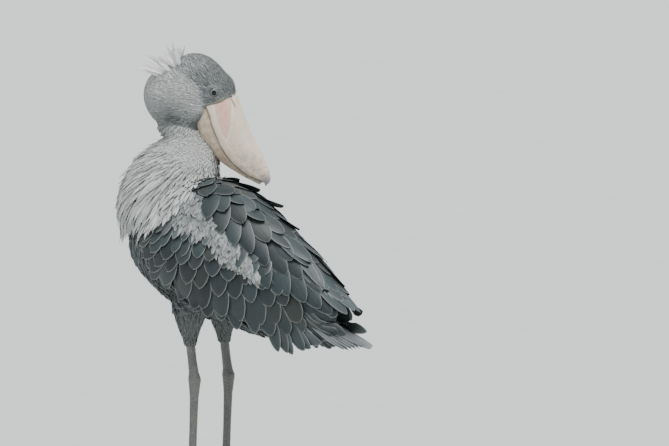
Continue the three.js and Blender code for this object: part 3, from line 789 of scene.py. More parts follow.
def spots_in_tiers(index, most, tier=0, tier_count=1):
    """A place of its own for each big vane: its number in the tier, and its tier."""
    return np.stack([index / most, np.full(len(index), tier / tier_count)], -1)
    """A place of its own for each big vane: its tier across, and its number in the tier along."""
    return np.stack([index / most, tier / tier_count], -1)

# %% [markdown]
# ## The finish of plumage
# One node group gives every feather its colour, from a shade between 0, nearly white, and 1, dark slate.
# The skin underneath reads the same group. Over body and wings its shade matches the feathers', so that a
# gap between them never shows as a spot; under the neck's cape and on the head it is darker, a painted
# shade in the gaps.
#
# A second group draws what a single vane shows: its pale rim, the line of the shaft, and the fine barbs
# that run out from it.

# %% Plumage colour
PLUMAGE_TONES = [
    (0.0, (0.85, 0.86, 0.82)), (0.25, (0.50, 0.52, 0.505)), (0.5, (0.19, 0.212, 0.218)),
    (0.75, (0.056, 0.077, 0.079)), (1.0, (0.016, 0.025, 0.027)),
]
WARM_TINT = (0.27, 0.26, 0.20)


def new_group(name, inputs, outputs):
    """The wiring of a new node group, its inputs and its outputs. Each socket is (name, kind, default)."""
    group = bpy.data.node_groups.new(name, "ShaderNodeTree")
    for way, sockets in (("INPUT", inputs), ("OUTPUT", outputs)):
        for label, kind, *default in sockets:
            socket = group.interface.new_socket(label, in_out=way, socket_type="NodeSocket" + kind)
            if default:
                socket.default_value = default[0]
    given = group.nodes.new("NodeGroupInput").outputs
    return Wiring(group), given, group.nodes.new("NodeGroupOutput").inputs


wire, given, result = new_group(
    "plumage_colour", [("Shade", "Float", 0.5), ("Chance", "Float", 0.5), ("Place", "Vector")],
    [("Color", "Color")],
)
plumage = wire.tree
uneven = wire.scaled(wire.noise(given["Place"], 38.0, 3.0), 0.10, -0.05)
stray = wire.scaled(given["Chance"], 0.10, -0.05)
plain = wire.ramp(wire.plus(wire.plus(given["Shade"], uneven), stray, clamp=True), PLUMAGE_TONES)
warm_part = wire.smooth(given["Chance"], 0.55, 1.0, 0.0, 0.09)
wire.put(result["Color"], wire.mix(warm_part, plain, WARM_TINT))


def coat_colour(wire):
    """The plumage's colour, by the piece's own shade and chance."""
    return wire.group(plumage, {
        "Shade": wire.attribute("shade"), "Chance": wire.attribute("chance"), "Place": wire.object_place(),
    })["Color"]

# %% The marks of one vane
wire, given, result = new_group(
    "vane_marks", [("Rim width", "Float", 1.4), ("Shaft width", "Float", 0.5)],
    [("Rim", "Float"), ("Shaft", "Float"), ("Barbs", "Float")],
)
vane_marks = wire.tree
off_shaft = wire.math("ABSOLUTE", wire.attribute("across"))
width = wire.times(given["Rim width"], wire.scaled(wire.noise(wire.uv("Vane"), 9.0), 1.2, 0.4))
wire.put(result["Rim"], wire.minus(1.0, wire.smooth(wire.attribute("rim"), wire.times(width, 0.7), width)))
shaft_end = given["Shaft width"]
wire.put(result["Shaft"], wire.minus(1.0, wire.smooth(off_shaft, wire.times(shaft_end, 0.4), shaft_end)))
# Barbs are a noise that is drawn out long across the vane and slants towards its tip.
across, along, _ = wire.split(wire.uv("Vane"))
barb_place = wire.node("CombineXYZ", {
    "X": wire.times(across, 6.0), "Y": wire.times(wire.minus(along, wire.times(off_shaft, 0.007)), 90.0),
    "Z": wire.times(wire.attribute("chance"), 50.0),
})
wire.put(result["Barbs"], wire.noise(barb_place, 1.0))

# %% Feather materials
SHAFT_COLOUR = (0.02, 0.022, 0.025)
BARB_SHADOW = (0.45, 0.47, 0.48)


def feather_finish(
    name, rim_colour, rim_width, rim_part, soft_part, shaft_width, barb_part, roughness, sheen,
):
    """A feather material: plumage colour with the vane's own marks over it."""
    wire = Finish(name)
    colour = coat_colour(wire)
    marks = wire.group(vane_marks, {"Rim width": rim_width, "Shaft width": shaft_width})
    shaded = wire.mix(1.0, colour, BARB_SHADOW, "MULTIPLY")
    barbed = wire.mix(wire.times(marks["Barbs"], barb_part), colour, shaded)
    shafted = wire.mix(wire.times(marks["Shaft"], 0.55), barbed, SHAFT_COLOUR)
    soft_rim = wire.smooth(wire.attribute("rim"), 0.0, rim_width * 6, soft_part, 0.0)
    softened = wire.mix(soft_rim, shafted, rim_colour)
    height = wire.scaled(marks["Barbs"], 0.5, wire.times(marks["Shaft"], 0.7))
    return wire.surface({
        "Base Color": wire.mix(wire.times(marks["Rim"], rim_part), softened, rim_colour),
        "Normal": wire.bump(height, 0.0006, 0.6), "Roughness": roughness, "Sheen Weight": sheen,
        "Specular IOR Level": 0.35,
    })


# The rim's colour, width and strength, how far the vane pales towards it, the width of the shaft, the
# strength of the barbs, the roughness and the sheen.
slate_vane = feather_finish("slate_vane", (0.46, 0.48, 0.44), 1.0, 0.75, 0.12, 0.45, 0.6, 0.46, 0.05)
dark_vane = feather_finish("dark_vane", (0.36, 0.38, 0.36), 0.9, 0.50, 0.10, 0.45, 0.6, 0.44, 0.05)
down_finish = feather_finish("loose_down", (0.58, 0.59, 0.55), 1.1, 0.60, 0.20, 0.3, 0.5, 0.75, 0.1)
grey_vane = feather_finish("grey_vane", (0.42, 0.43, 0.40), 1.1, 0.55, 0.14, 0.5, 0.6, 0.55, 0.05)
lance_finish = feather_finish("pale_lance", (0.70, 0.70, 0.66), 1.2, 0.35, 0.16, 0.4, 0.6, 0.75, 0.1)
# The crest's finish pales almost to white: partly the plumes' own colour, partly a painted glow of light
# shining through them.
crest_backlit_finish = feather_finish("crest_plume_backlit", (0.94, 0.94, 0.91), 1.5, 0.6, 0.7, 0.3, 0.3, 0.7, 0.15)
soft_finish = feather_finish("soft_body_feather", (0.34, 0.35, 0.32), 1.0, 0.20, 0.12, 0.3, 0.5, 0.8, 0.1)
head_finish = feather_finish("head_feather", (0.60, 0.61, 0.60), 0.5, 0.15, 0.10, 0.2, 0.3, 0.85, 0.1)


def dressed(item, finish, slot, *nodes):
    """Gives a piece its finish and hides the solids that it stands for. The slot is not used."""
    item.data.materials.clear()
    item.data.materials.append(finish)
    if nodes:
        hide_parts(*nodes)
    return item
# %% [markdown]
# ## The folded wings
# A folded wing shows its feathers in tiers, like a tiled roof: small coverts at the bend, longer and longer
# ones below, then the flight feathers. Over the top of it lie the scapulars and the long tertials. A place
# on the wing is told by the distance back and the way round its outer face: -1 along the top edge, 0 at the
# middle, 1 at the lower edge, and straight down beyond that.

# %% The wing's outer face
WING_ROWS = refine(WING, 300)


def wing_spot(side, back, way):
    """Places on the outer face of the left (1) or right (-1) wing."""
    x, z, thick, up, down = at(WING_ROWS, back)
    turned = np.minimum(np.abs(way), 1) * math.pi / 2
    over = x + thick * np.cos(turned) - WING_LEAN * up * np.sin(turned)
    bulge = np.sqrt(np.maximum(0.3, 1 - (0.92 * way) ** 2))
    upper = np.stack([over, back, z + up * np.sin(turned)], -1)
    lower = np.stack([x + thick * bulge, back, z - down * way], -1)
    place = np.where((way < 0)[..., None], upper, lower)
    return packed(place * (side, 1, 1))


def over_wing(side, roots, tips, rows):
    """Places and outward directions along feathers from roots to tips, each (distance back, way round)."""
    share = rows[None, :, None]
    spots = roots[:, None] * (1 - share) + tips[:, None] * share
    back, way = spots[..., 0], spots[..., 1]
    places = wing_spot(side, back, way)
    rearwards = wing_spot(side, back + 10, way) - wing_spot(side, back - 10, way)
    upwards = wing_spot(side, back, way - 0.08) - wing_spot(side, back, way + 0.08)
    return places, unit(np.cross(rearwards, upwards) * side)


# For each tier: how many feathers, the first and the last one's width, then as (distance back, way round)
# where the tips of the first, the middle and the last lie, and how far the first and the last root are from
# their tips, and at the end the shade and how high the tips stand.
WING_TIERS = {
    "primary": (9, 32, 28, 250, 1.50, 336, 1.95, 420, 2.40, -44, -1.20, -104, -2.10, 0.72, 5),
    "secondary": (11, 48, 44, -70, 0.90, 120, 1.10, 318, 1.12, 34, -0.62, -58, -0.95, 0.84, 5),
    "greater": (9, 58, 50, -74, 0.70, 112, 1.00, 304, 0.70, 44, -0.80, -40, -0.84, 0.86, 6),
    "median": (10, 52, 46, -90, 0.40, 98, 0.60, 280, 0.32, 44, -0.66, -34, -0.66, 0.86, 7),
    "lesser": (10, 46, 42, -96, 0.16, 86, 0.31, 264, 0.06, 38, -0.54, -34, -0.52, 0.83, 7),
    "small": (11, 38, 34, -84, 0.02, 70, 0.12, 232, -0.08, 22, -0.42, -30, -0.38, 0.77, 7),
    "least": (11, 30, 28, -68, -0.10, 62, -0.06, 200, -0.18, 8, -0.34, -26, -0.30, 0.68, 7),
    "tertial": (6, 46, 42, 240, 0.04, 336, -0.06, 402, -0.28, -84, -0.78, -120, -0.45, 0.84, 8),
    "long_scapular": (8, 47, 42, 76, -0.34, 205, -0.22, 352, -0.50, -36, -0.56, -120, -0.30, 0.88, 10),
    "scapular": (6, 46, 42, 60, -0.60, 180, -0.50, 346, -0.70, -40, -0.36, -112, -0.18, 0.88, 11),
    "upper_scapular": (5, 44, 40, 50, -0.84, 160, -0.80, 306, -0.94, -52, -0.12, -108, -0.03, 0.86, 12),
}
WING_GROUPS = {
    "flight": (["primary", "secondary"], grey_vane),
    "coverts": (["greater", "median", "lesser", "small", "least"], slate_vane),
    "scapulars": (["tertial", "long_scapular", "scapular", "upper_scapular"], dark_vane),
}
WING_SINK = 8.0
MOST_IN_TIER = 11
# How far the tips of the right wing's upper scapulars stand up, free of the back.
FREE_TIPS = np.array([0.0, 2.0, 12.0, 3.0, 0.0])


def through(points, share):
    """A smooth line through a first, a middle and a last point."""
    first, middle, last = np.array(points, float)
    share = share[:, None]
    return (
        first * (1 - share) * (1 - 2 * share) + middle * 4 * share * (1 - share)
        + last * share * (2 * share - 1)
    )


def lengths_of(places):
    """How long each feather's line is, in millimetres."""
    return np.linalg.norm(np.diff(places, axis=1), axis=-1).sum(1) / MM


def big_outline(rows, belly=0.55, power=2.2, blunt=0.62):
    """The outline of a broad vane with a round tip."""
    return breadths(rows, 0.5, belly, power, blunt)


def wing_tier(side, tier, rng, bake_row, bake_rows):
    """The feathers of one tier as a mesh of their own."""
    count, *numbers, shade, lift = WING_TIERS[tier]
    share = np.linspace(0, 1, count)
    tip = through(np.reshape(numbers[2:8], (3, 2)), share) + rng.uniform(-1, 1, (count, 2)) * (6, 0.035)
    first, last = np.reshape(numbers[8:], (2, 2))
    back = first * (1 - share[:, None]) + last * share[:, None]
    root = tip + back + rng.uniform(-1, 1, (count, 2)) * (5, 0.02)
    places, normals = over_wing(side, root, tip, BROAD)
    curl = rng.uniform(-1.5, 2.0, count)
    if side < 0 and tier == "upper_scapular":
        curl = curl + FREE_TIPS
    return make_feathers(
        f"wing_{tier}", places, normals, BROAD, big_outline(BROAD),
        np.interp(share, [0, 1], numbers[:2]) + rng.uniform(-2, 2, count), lengths_of(places),
        shade + rng.uniform(-0.03, 0.12, count),
        spots_in_tiers(np.arange(count), MOST_IN_TIER, bake_row, bake_rows),
        sink=WING_SINK, lift=lift + rng.uniform(-0.5, 2.5, count), thick=1.1, arch=0.12, tilt=side * 2.0,
        across_count=9, ragged=0.012, seed=int(rng.integers(1000)), patch=0.08, sharp_edges=True, curl=curl,
    )


for side, word in SIDES:
    rng = np.random.default_rng(41 + side)
    for group, (tiers, finish) in WING_GROUPS.items():
        parts = [wing_tier(side, tier, rng, row, len(tiers)) for row, tier in enumerate(tiers)]
        dressed(joined(parts, f"wing_{word}_{group}"), finish, "slate_plumage", f"wing_{word}")

# %% [markdown]
# Between scapulars and coverts runs a strip of loose, pale, downy feathers. They are narrow and stray, and
# hang a little over the first coverts.

# %% The downy strip
STRIP_COUNT = 380
STRIP_LINE = [(-50, -0.62), (88, -0.37), (205, -0.12)]


def downy_strip(side, word):
    rng = np.random.default_rng(90 + side)
    share = np.sort(rng.uniform(0, 1, STRIP_COUNT))
    spread = np.interp(share, [0, 0.4, 1], [0.20, 0.13, 0.06])
    stray = rng.uniform(-1, 1, (STRIP_COUNT, 2))
    root = through(STRIP_LINE, share) + stray * np.stack([np.full(STRIP_COUNT, 8.0), spread], -1)
    reach = rng.uniform(0.16, 0.28, STRIP_COUNT)
    tip = root + np.stack([rng.uniform(-8, 20, STRIP_COUNT), reach], -1)
    places, normals = over_wing(side, root, tip, LANCE)
    piece = make_feathers(
        f"wing_{word}_down", places, normals, LANCE, breadths(LANCE, 0.6, 0.5, 1.9, 0.8),
        rng.uniform(9, 17, STRIP_COUNT), lengths_of(places),
        rng.uniform(0.40, 0.66, STRIP_COUNT) - 0.12 * np.abs(stray[:, 1]), spot_on_body(places[:, 0]),
        lift=rng.uniform(5, 9, STRIP_COUNT), thick=0.7, arch=0.15,
        tilt=rng.uniform(-1, 1, STRIP_COUNT), ragged=0.12, seed=5, curl=rng.uniform(-1, 1.5, STRIP_COUNT),
        across_count=5,
    )
    return dressed(piece, down_finish, "pale_plumage")


for side, word in SIDES:
    downy_strip(side, word)

# %% [markdown]
# ## Where each kind of feather grows
# The body is divided into tracts: the head with its sleeve over the bill's root, the neck, the thighs, the
# back between the wings, and the rest. Small tests on a place tell which tract it is in.

# %% Tracts
EYE_PLACE = np.array([35.0, -11.0, 48.0])
THROAT = np.array([12.0, -33.0, 770.0])


def on_head(places):
    local = to_head(places)
    sleeve = (local[:, 1] > -12) & (local[:, 2] > -5)
    return ((head_field(local) > 0.38) | sleeve) & (stations_of(places)[:, 2] > 750)


def on_neck(places):
    x, y, z = stations_of(places).T
    return (z > 640) & (y < 12) & ~on_head(places)


def on_thigh(places):
    x, y, z = stations_of(places).T
    return (np.hypot(np.abs(x) - LEG_SPREAD, y + 2) < 62) & (z < 412) & (z > 326)


def under_wing(places):
    """True where a folded wing lies over the body."""
    x, y, z = stations_of(places).T
    _, middle, _, up, down = at(WING_ROWS, y)
    tall = (z < middle + up * 0.72) & (z > middle - down * 0.80)
    return tall & (y > -105) & (y < 300) & (np.abs(x) > 30)


def on_back(places, outward):
    x, y, z = stations_of(places).T
    trunk = (y > -40) & (z > 440) & (z < 730) & ~on_head(places)
    return trunk & (outward[:, 2] > 0.35) & (np.abs(x) < 62)


def eye_gap(local):
    """How far each place on the head is from the nearer eye's axis."""
    return np.linalg.norm(local[:, 1:] - EYE_PLACE[1:], axis=1)


def bare_face(local):
    """1 on the naked skin round the eye and along the bill's root, 0 where feathers grow."""
    near_eye = step(20, 13, eye_gap(local)) * (np.abs(local[:, 0]) > 20)
    to_edge = np.interp(local[:, 2], FACE_UP, FACE_EDGE) - local[:, 1]
    near_bill = step(10, 6, to_edge) * step(62, 56, local[:, 2]) * step(2, 8, local[:, 2])
    return np.maximum(near_eye, near_bill)

# %% [markdown]
# ## Neck and cape
# The neck wears long, narrow, pointed feathers. At the throat, in front of the bend, they are short, white
# and as fine as velvet. Away from there they grow longer, run down the neck with a slant, because the head
# is turned, and end in a loose fringe over breast and shoulders.

# %% Cape
CAPE_FRINGE = 612
# The neck's middle, left and back.
NECK_MIDDLE = np.array([-10.0, -112.0])
# Distances from the throat, and at each the gap between roots, the feathers' length and their width.
THROAT_GAPS = [15, 45, 85, 130, 180]
ROOT_GAPS = [2.2, 3.0, 5.4, 8.0, 8.8]
LANCE_LENGTHS = [13, 22, 46, 76, 84]
LANCE_WIDTHS = [3.6, 5.0, 8.5, 11.5, 13]
LONG_FROM = 92


def on_cape(places, outward):
    x, y, z = stations_of(places).T
    out = np.hypot(x - NECK_MIDDLE[0], y - NECK_MIDDLE[1])
    shoulder = (np.abs(x) > 112) & (z < 650)
    return (z > CAPE_FRINGE) & (out < 142) & (y < 8) & ~shoulder & ~on_head(places)


def throat_gap(places):
    return np.linalg.norm(stations_of(places) - THROAT, axis=1)


def cape_heading(places):
    """Down the neck, round it against the turn of the head near the top, and back over the shoulders."""
    points = stations_of(places)
    out = points[:, :2] - NECK_MIDDLE
    out /= np.linalg.norm(out, axis=1, keepdims=True)
    slant = 1.25 * step(620, 770, points[:, 2])
    rearwards = 0.5 * step(-60, 0, points[:, 1]) * step(760, 700, points[:, 2])
    return unit(np.stack([out[:, 1] * slant, rearwards - out[:, 0] * slant, -np.ones(len(points))], -1))


rng = np.random.default_rng(12)
roots = cape.scatter(on_cape, lambda places: np.interp(throat_gap(places), THROAT_GAPS, ROOT_GAPS), rng)
count = len(roots)
gap = throat_gap(roots)
high = roots[:, 2] / MM
length = (
    np.interp(gap, THROAT_GAPS, LANCE_LENGTHS) * np.interp(high, [610, 660, 770, 830], [0.68, 1, 1, 0.4])
    * rng.uniform(0.8, 1.2, count) * np.interp(stations_of(roots)[:, 1], [-70, -10], [1, 0.55])
)
sway = 0.16 * np.sin(roots[:, [2, 0, 1]] / 0.019 + np.sin(roots / 0.031))
strayed = cape_heading(roots) + sway + 0.13 * rng.standard_normal((count, 3))
places, normals = run_over(cape, roots, strayed, length * MM, LANCE)
width = np.interp(gap, THROAT_GAPS, LANCE_WIDTHS) * rng.uniform(0.75, 1.25, count)
nape = step(770, 805, high) * step(55, 95, gap)
uneven = 0.09 * step(20, 90, gap) * rng.standard_normal(count)
shade = 0.03 + 0.17 * step(25, 110, gap) + 0.20 * nape + uneven
big = gap > LONG_FROM
for name, part, across_count in (("neck_cape", big, 5), ("throat_feathers", ~big, 3)):
    piece = make_feathers(
        name, places[part], normals[part], LANCE, breadths(LANCE, 0.55, 0.42, 1.7), width[part],
        length[part], shade[part], spot_on_neck(roots[part]), sink=2.0,
        lift=(np.interp(gap, [20, 60, 120], [0.5, 1.8, 6.0]) * rng.uniform(0.6, 1.5, count))[part],
        thick=0.9, arch=0.22, tilt=rng.uniform(-1.0, 1.0, part.sum()) * (0.4 + 0.8 * big[part]),
        ragged=0.06, seed=8, across_count=across_count,
        curl=(rng.uniform(-2, 4.5, count) * step(50, 110, gap))[part],
    )
    dressed(piece, lance_finish, "pale_plumage", "neck")

# %% [markdown]
# ## Breast, belly, flanks and back
# The rest of the body wears smaller, rounded feathers that all lie backwards and down. Places that the
# wings cover are left out.

# %% Body feathers
def body_heading(places):
    """Backwards along the body, and down its sides."""
    front = step(-60, -190, stations_of(places)[:, 1])
    return unit(np.stack([0.0 * front, 1.0 - 0.7 * front, -0.55 - 0.9 * front], -1))


def down_leg(places):
    return np.tile([0.0, 0.12, -1.0], (len(places), 1))


def body_tract(name, where, gap, width, length, lift, shade, seed, nodes, heading=body_heading):
    """A tract of rounded body feathers. All the sizes are in millimetres."""
    rng = np.random.default_rng(seed)
    roots = body.scatter(where, lambda places: np.full(len(places), float(gap)), rng)
    count = len(roots)
    long = length * rng.uniform(0.8, 1.2, count)
    way = heading(roots) + 0.12 * rng.standard_normal((count, 3))
    places, normals = run_over(body, roots, way, long * MM, ROUND_TUFT)
    piece = make_feathers(
        name, places, normals, ROUND_TUFT, breadths(ROUND_TUFT, 0.5, 0.5, 2.2, 0.7),
        width * rng.uniform(0.8, 1.2, count), long, shade(roots) + rng.uniform(-0.07, 0.07, count),
        spot_on_body(roots), sink=3.0, lift=lift * rng.uniform(0.7, 1.3, count), thick=0.8, arch=0.18,
        tilt=rng.uniform(-1, 1, count) * lift * 0.15, ragged=0.04, seed=seed + 1,
    )
    return dressed(piece, soft_finish, "pale_plumage", *nodes)


# Body feathers darken from 0.56 at the breast to 0.74 low on the belly; the darkening lower down is painted
# shade.
def breast_shade(places):
    return 0.56 + 0.18 * step(600, 480, stations_of(places)[:, 2])


def elsewhere(places, outward):
    x, y, z = stations_of(places).T
    covered = on_head(places) | on_neck(places) | under_wing(places) | on_thigh(places)
    return ~covered & ~on_back(places, outward) & ~((y > 292) & (z > 385)) & (z > 345)


def thigh_only(places, outward):
    return on_thigh(places)


body_tract("body_feathers", elsewhere, 8.0, 16, 36, 4.0, breast_shade, 31, ["torso"])
body_tract(
    "thigh_feathers", thigh_only, 4.0, 5, 19, 1.8, lambda places: np.full(len(places), 0.68), 35,
    ["thigh_left", "thigh_right"], down_leg,
)

# %% [markdown]
# Down the middle of the back, between the wings, broad feathers lie in rows like the tiles of a ridge.
# Their bed is a smooth saddle over the higher of back and wings, and bridges the slit between the wings.

# %% The ridge of the back
TORSO_ROWS = refine(TORSO, 300)
RIDGE_RISE = 4.0
RIDGE_ROWS = 15
RIDGE_FIRST = -46
RIDGE_STEP = 25
# Past the wings' tips the line goes straight on, falling this much for each millimetre.
RIDGE_END = 352
RIDGE_FALL = 1.0


def ridge(back):
    """The height of the back's middle line."""
    trunk = at(TORSO_ROWS, back)
    wing = at(WING_ROWS, np.minimum(back, RIDGE_END))
    beyond = RIDGE_FALL * np.maximum(0, back - RIDGE_END)
    return np.maximum(trunk[0] + trunk[2], wing[1] + wing[3]) - beyond


def over_ridge(left, back):
    """Places and outward directions over the middle of the back."""
    slope = (ridge(back + 8) - ridge(back - 8)) / 16
    height = (ridge(back - 12) + ridge(back) + ridge(back + 12)) / 3 + RIDGE_RISE - left**2 / 220
    outward = unit(np.stack([left / 110, -slope, np.ones_like(left)], -1))
    return packed(np.stack([left, back, height], -1)), outward


rng = np.random.default_rng(33)
column, first = np.array([
    (column, RIDGE_FIRST + RIDGE_STEP * row) for row in range(RIDGE_ROWS)
    for column in ((-1, 1) if row % 2 else (-2, 0, 2))
], float).T
count = len(first)
long = np.interp(first, [-50, 240, 310], [70, 108, 98]) * rng.uniform(0.92, 1.08, count)
left = column * np.interp(first, [-50, 300], [24, 11]) + rng.uniform(-3, 3, count)
back = first[:, None] + rng.uniform(-4, 4, (count, 1)) + long[:, None] * BROAD
places, normals = over_ridge(left[:, None] * (1 + 0.12 * BROAD), back)
# The rear rows are paler, their tone easing from 0.9 to 0.74: a painted light that keeps them from going
# black in the shade where they lie.
piece = make_feathers(
    "back_feathers", places, normals, BROAD, big_outline(BROAD),
    np.interp(first, [-50, 300], [40, 44]) + rng.uniform(-2, 2, count), long,
    rng.uniform(-0.06, 0.06, count) + np.interp(first, [150, 310], [0.9, 0.74]),
    spots_in_tiers(np.arange(count), count), sink=6, lift=rng.uniform(4, 7, count), thick=1.1, arch=0.12,
    tilt=rng.uniform(-2, 2, count), across_count=9, ragged=0.012, seed=34, patch=0.03, sharp_edges=True,
    curl=rng.uniform(-1, 2, count),
)
dressed(piece, dark_vane, "slate_plumage", "torso")

# %% [markdown]
# ## The tail
# Twelve broad feathers fan out under the wing tips, the middle pair on top. Short coverts hide their quills
# above and below.

# %% Tail fan
TAIL_COUNT = 12
TAIL_LENGTH = 192
TAIL_WIDTH = 37
TAIL_SLOPE = math.radians(27)
TAIL_FAN = math.radians(11)
COVERT_FAN = math.radians(16)


def tail_fan(count, length, width, height, name, shade, seed, finish, fan=COVERT_FAN, nodes=(), start=0):
    rng = np.random.default_rng(seed)
    share = np.linspace(-1, 1, count)
    bearing = fan * share + rng.uniform(-0.01, 0.01, count)
    along = np.stack([
        np.sin(bearing), np.cos(bearing) * math.cos(TAIL_SLOPE), -np.cos(bearing) * math.sin(TAIL_SLOPE),
    ], -1)
    root = TAIL_ROOT + np.stack([share * 20, np.full(count, start), height - 13 * np.abs(share)], -1)
    reach = length - 14 * share**2 + rng.uniform(-4, 4, count)
    places = packed(root[:, None] + along[:, None] * (reach[:, None] * BROAD)[..., None])
    normals = np.broadcast_to([0, math.sin(TAIL_SLOPE), math.cos(TAIL_SLOPE)], places.shape)
    piece = make_feathers(
        name, places, normals, BROAD, big_outline(BROAD, 0.6, 2.6, 0.6), width, reach, shade,
        spots_in_tiers(np.arange(count), count), sink=0, lift=0, thick=1.4, arch=0.12,
        tilt=np.sign(share) * -1.6, across_count=9, ragged=0.01, seed=seed, patch=0.07, sharp_edges=True,
    )
    return dressed(piece, finish, "tail_plumage", *nodes)


tail_fan(TAIL_COUNT, TAIL_LENGTH, TAIL_WIDTH, 7, "tail_feathers", 0.60, 50, grey_vane, TAIL_FAN, ("tail",))
tail_fan(9, 96, 34, 14, "tail_coverts", 0.52, 51, grey_vane)
tail_fan(9, 104, 34, -3, "undertail_coverts", 0.20, 52, lance_finish, start=-6)

# %% [markdown]
# ## The head
# The crown is slate grey with fine dark and light streaks. The cheek and nape are pale and downy, and stand
# proud of the crown in a soft ruff. All of it lies back from the bill.

# %% Head feathers
FACE_POINT = np.array([0.0, 34.0, 40.0])


def head_heading(places):
    """Away from the face, over the head's surface."""
    return unit(head_direction(to_head(places) - FACE_POINT))


def head_shade(local):
    """Slate crown, pale ruff darkened in its lower middle by a painted shade, and a dark, mottled band
    under the cheek.
    """
    pale = ruff(local)
    gular = step(-30, -52, local[:, 2]) * step(-60, -20, local[:, 1])
    # The 0.15 step darkens the ruff's lower middle, a painted shade; the gular band is the bird's own
    # mottled mark.
    cheek = 0.13 + 0.15 * step(15, -35, local[:, 2]) * step(-105, -30, local[:, 1]) + 0.24 * gular
    crown = 0.47 - 0.16 * step(-30, -110, local[:, 1])
    lore = 0.08 * step(26, 6, np.abs(local[:, 2] - 38)) * step(-30, -5, local[:, 1])
    return (crown + lore) * (1 - pale) + cheek * pale


def near_face(local, close, far):
    """A size that grows from close by the bill to far back on the nape."""
    return np.interp(local[:, 1], [-90, -50, 15], [far, (close + far) / 2, close])


def head_tract(name, where, gap, width, length, lift, spread_shade, seed, ragged=0.08):
    """A tract of head feathers. Each size is a pair: by the bill, and back on the nape."""
    rng = np.random.default_rng(seed)

    def grows(places, outward):
        local = to_head(places)
        return on_head(places) & (bare_face(local) < 0.5) & where(local)

    roots = body.scatter(grows, lambda places: near_face(to_head(places), *gap), rng)
    local = to_head(roots)
    count = len(roots)
    long = near_face(local, *length) * rng.uniform(0.75, 1.25, count)
    way = head_heading(roots) + 0.16 * rng.standard_normal((count, 3))
    places, normals = run_over(body, roots, way, long * MM, TUFT)
    tone = head_shade(local) + spread_shade(local) * rng.standard_normal(count)
    piece = make_feathers(
        name, places, normals, TUFT, breadths(TUFT, 0.6, 0.4, 1.6),
        near_face(local, *width) * rng.uniform(0.75, 1.25, count), long, tone, spot_on_head(roots),
        lift=near_face(local, *lift) * rng.uniform(0.6, 1.4, count), thick=0.5, arch=0.12,
        tilt=rng.uniform(-0.25, 0.25, count), ragged=ragged, seed=seed + 1,
    )
    return dressed(piece, head_finish, "pale_plumage", "head")


def cheek_spread(local):
    return 0.03 + 0.09 * step(-30, -52, local[:, 2]) * step(-60, -20, local[:, 1])


head_tract(
    "crown_feathers", lambda p: ruff(p) < 0.5, (1.6, 2.4), (2.1, 3.6), (8, 17), (0.3, 0.9),
    lambda p: np.full(len(p), 0.09), 61,
)
for (side, word), seed in zip(SIDES, (63, 65)):
    head_tract(
        f"cheek_feathers_{word}", lambda p: (ruff(p) >= 0.5) & ((p[:, 0] > 0) == (side > 0)),
        (1.9, 2.4), (2.8, 4.0), (13, 21), (0.2, 0.9), cheek_spread, seed, 0.15,
    )

# %% [markdown]
# At the back of the crown stand pointed white plumes, fanned from the nape up to the top. Their near-white
# finish is partly the plumes' own pale colour and partly a painted glow of the light that shines through
# them.

# %% Crest
CREST_COUNT = 46
PLUME_LENGTHS = [58, 60, 54, 34]

rng = np.random.default_rng(71)
share = np.linspace(0, 1, CREST_COUNT)
lean = np.radians(-30 + 76 * share + rng.uniform(-7, 7, CREST_COUNT))
place = np.radians(-20 + 38 * share + rng.uniform(-4, 4, CREST_COUNT))
spread = rng.uniform(-1, 1, CREST_COUNT)
direction = unit(np.stack([spread * 0.38, -np.cos(place), np.sin(place)], -1))
root = out_to_head(direction) - direction * 4
along = unit(np.stack([spread * 0.30, -np.cos(lean), np.sin(lean)], -1))
length = np.interp(share, [0, 0.3, 0.65, 1], PLUME_LENGTHS) * rng.uniform(0.65, 1.1, CREST_COUNT)
bend = rng.uniform(-5, 9, CREST_COUNT)
bowed = unit(np.cross([1.0, 0, 0], along))
middle = root[:, None] + along[:, None] * (length[:, None] * LANCE)[..., None]
middle = middle + bowed[:, None] * (bend[:, None] * LANCE**2)[..., None]
places = from_head(middle)
facing = unit([1.0, 0, 0] + 0.55 * rng.standard_normal((CREST_COUNT, 3)))
piece = make_feathers(
    "crest", places, np.broadcast_to(unit(head_direction(facing))[:, None], places.shape), LANCE,
    breadths(LANCE, 0.8, 0.35, 2.4), rng.uniform(5.5, 9.5, CREST_COUNT), length,
    rng.uniform(-0.08, 0.06, CREST_COUNT), spot_on_head(places[:, 0]), sink=0, lift=0, thick=1.2, arch=0.3,
    ragged=0.1, seed=72, across_count=5,
)
dressed(piece, crest_backlit_finish, "pale_plumage", "head")

# %% [markdown]
# ## The bill
# The bill is the bird's mark: as broad as a shoe, with a keel along its top, a shallow groove on each side
# of the keel, slit nostrils, sharp cutting edges and a small hooked nail. It is lofted from its stations in
# the head's frame. Each of its points remembers its place on the head, because its colours follow it.

# %% Bill forms
NOSTRIL = (27.0, 38.0)
NOSTRIL_LENGTH = 11.0
NOSTRIL_WIDTH = 1.7


def hill(value, centre, reach):
    """A smooth hill of height 1 and the given reach."""
    return np.exp(-(((value - centre) / reach) ** 2))


def nostril(left, forward):
    """1 inside the slits of the nostrils, which run forward and a little inwards."""
    across = np.abs(left) - NOSTRIL[0] + 0.10 * (forward - NOSTRIL[1])
    return np.exp(-(((forward - NOSTRIL[1]) / NOSTRIL_LENGTH) ** 6) - (across / NOSTRIL_WIDTH) ** 2)


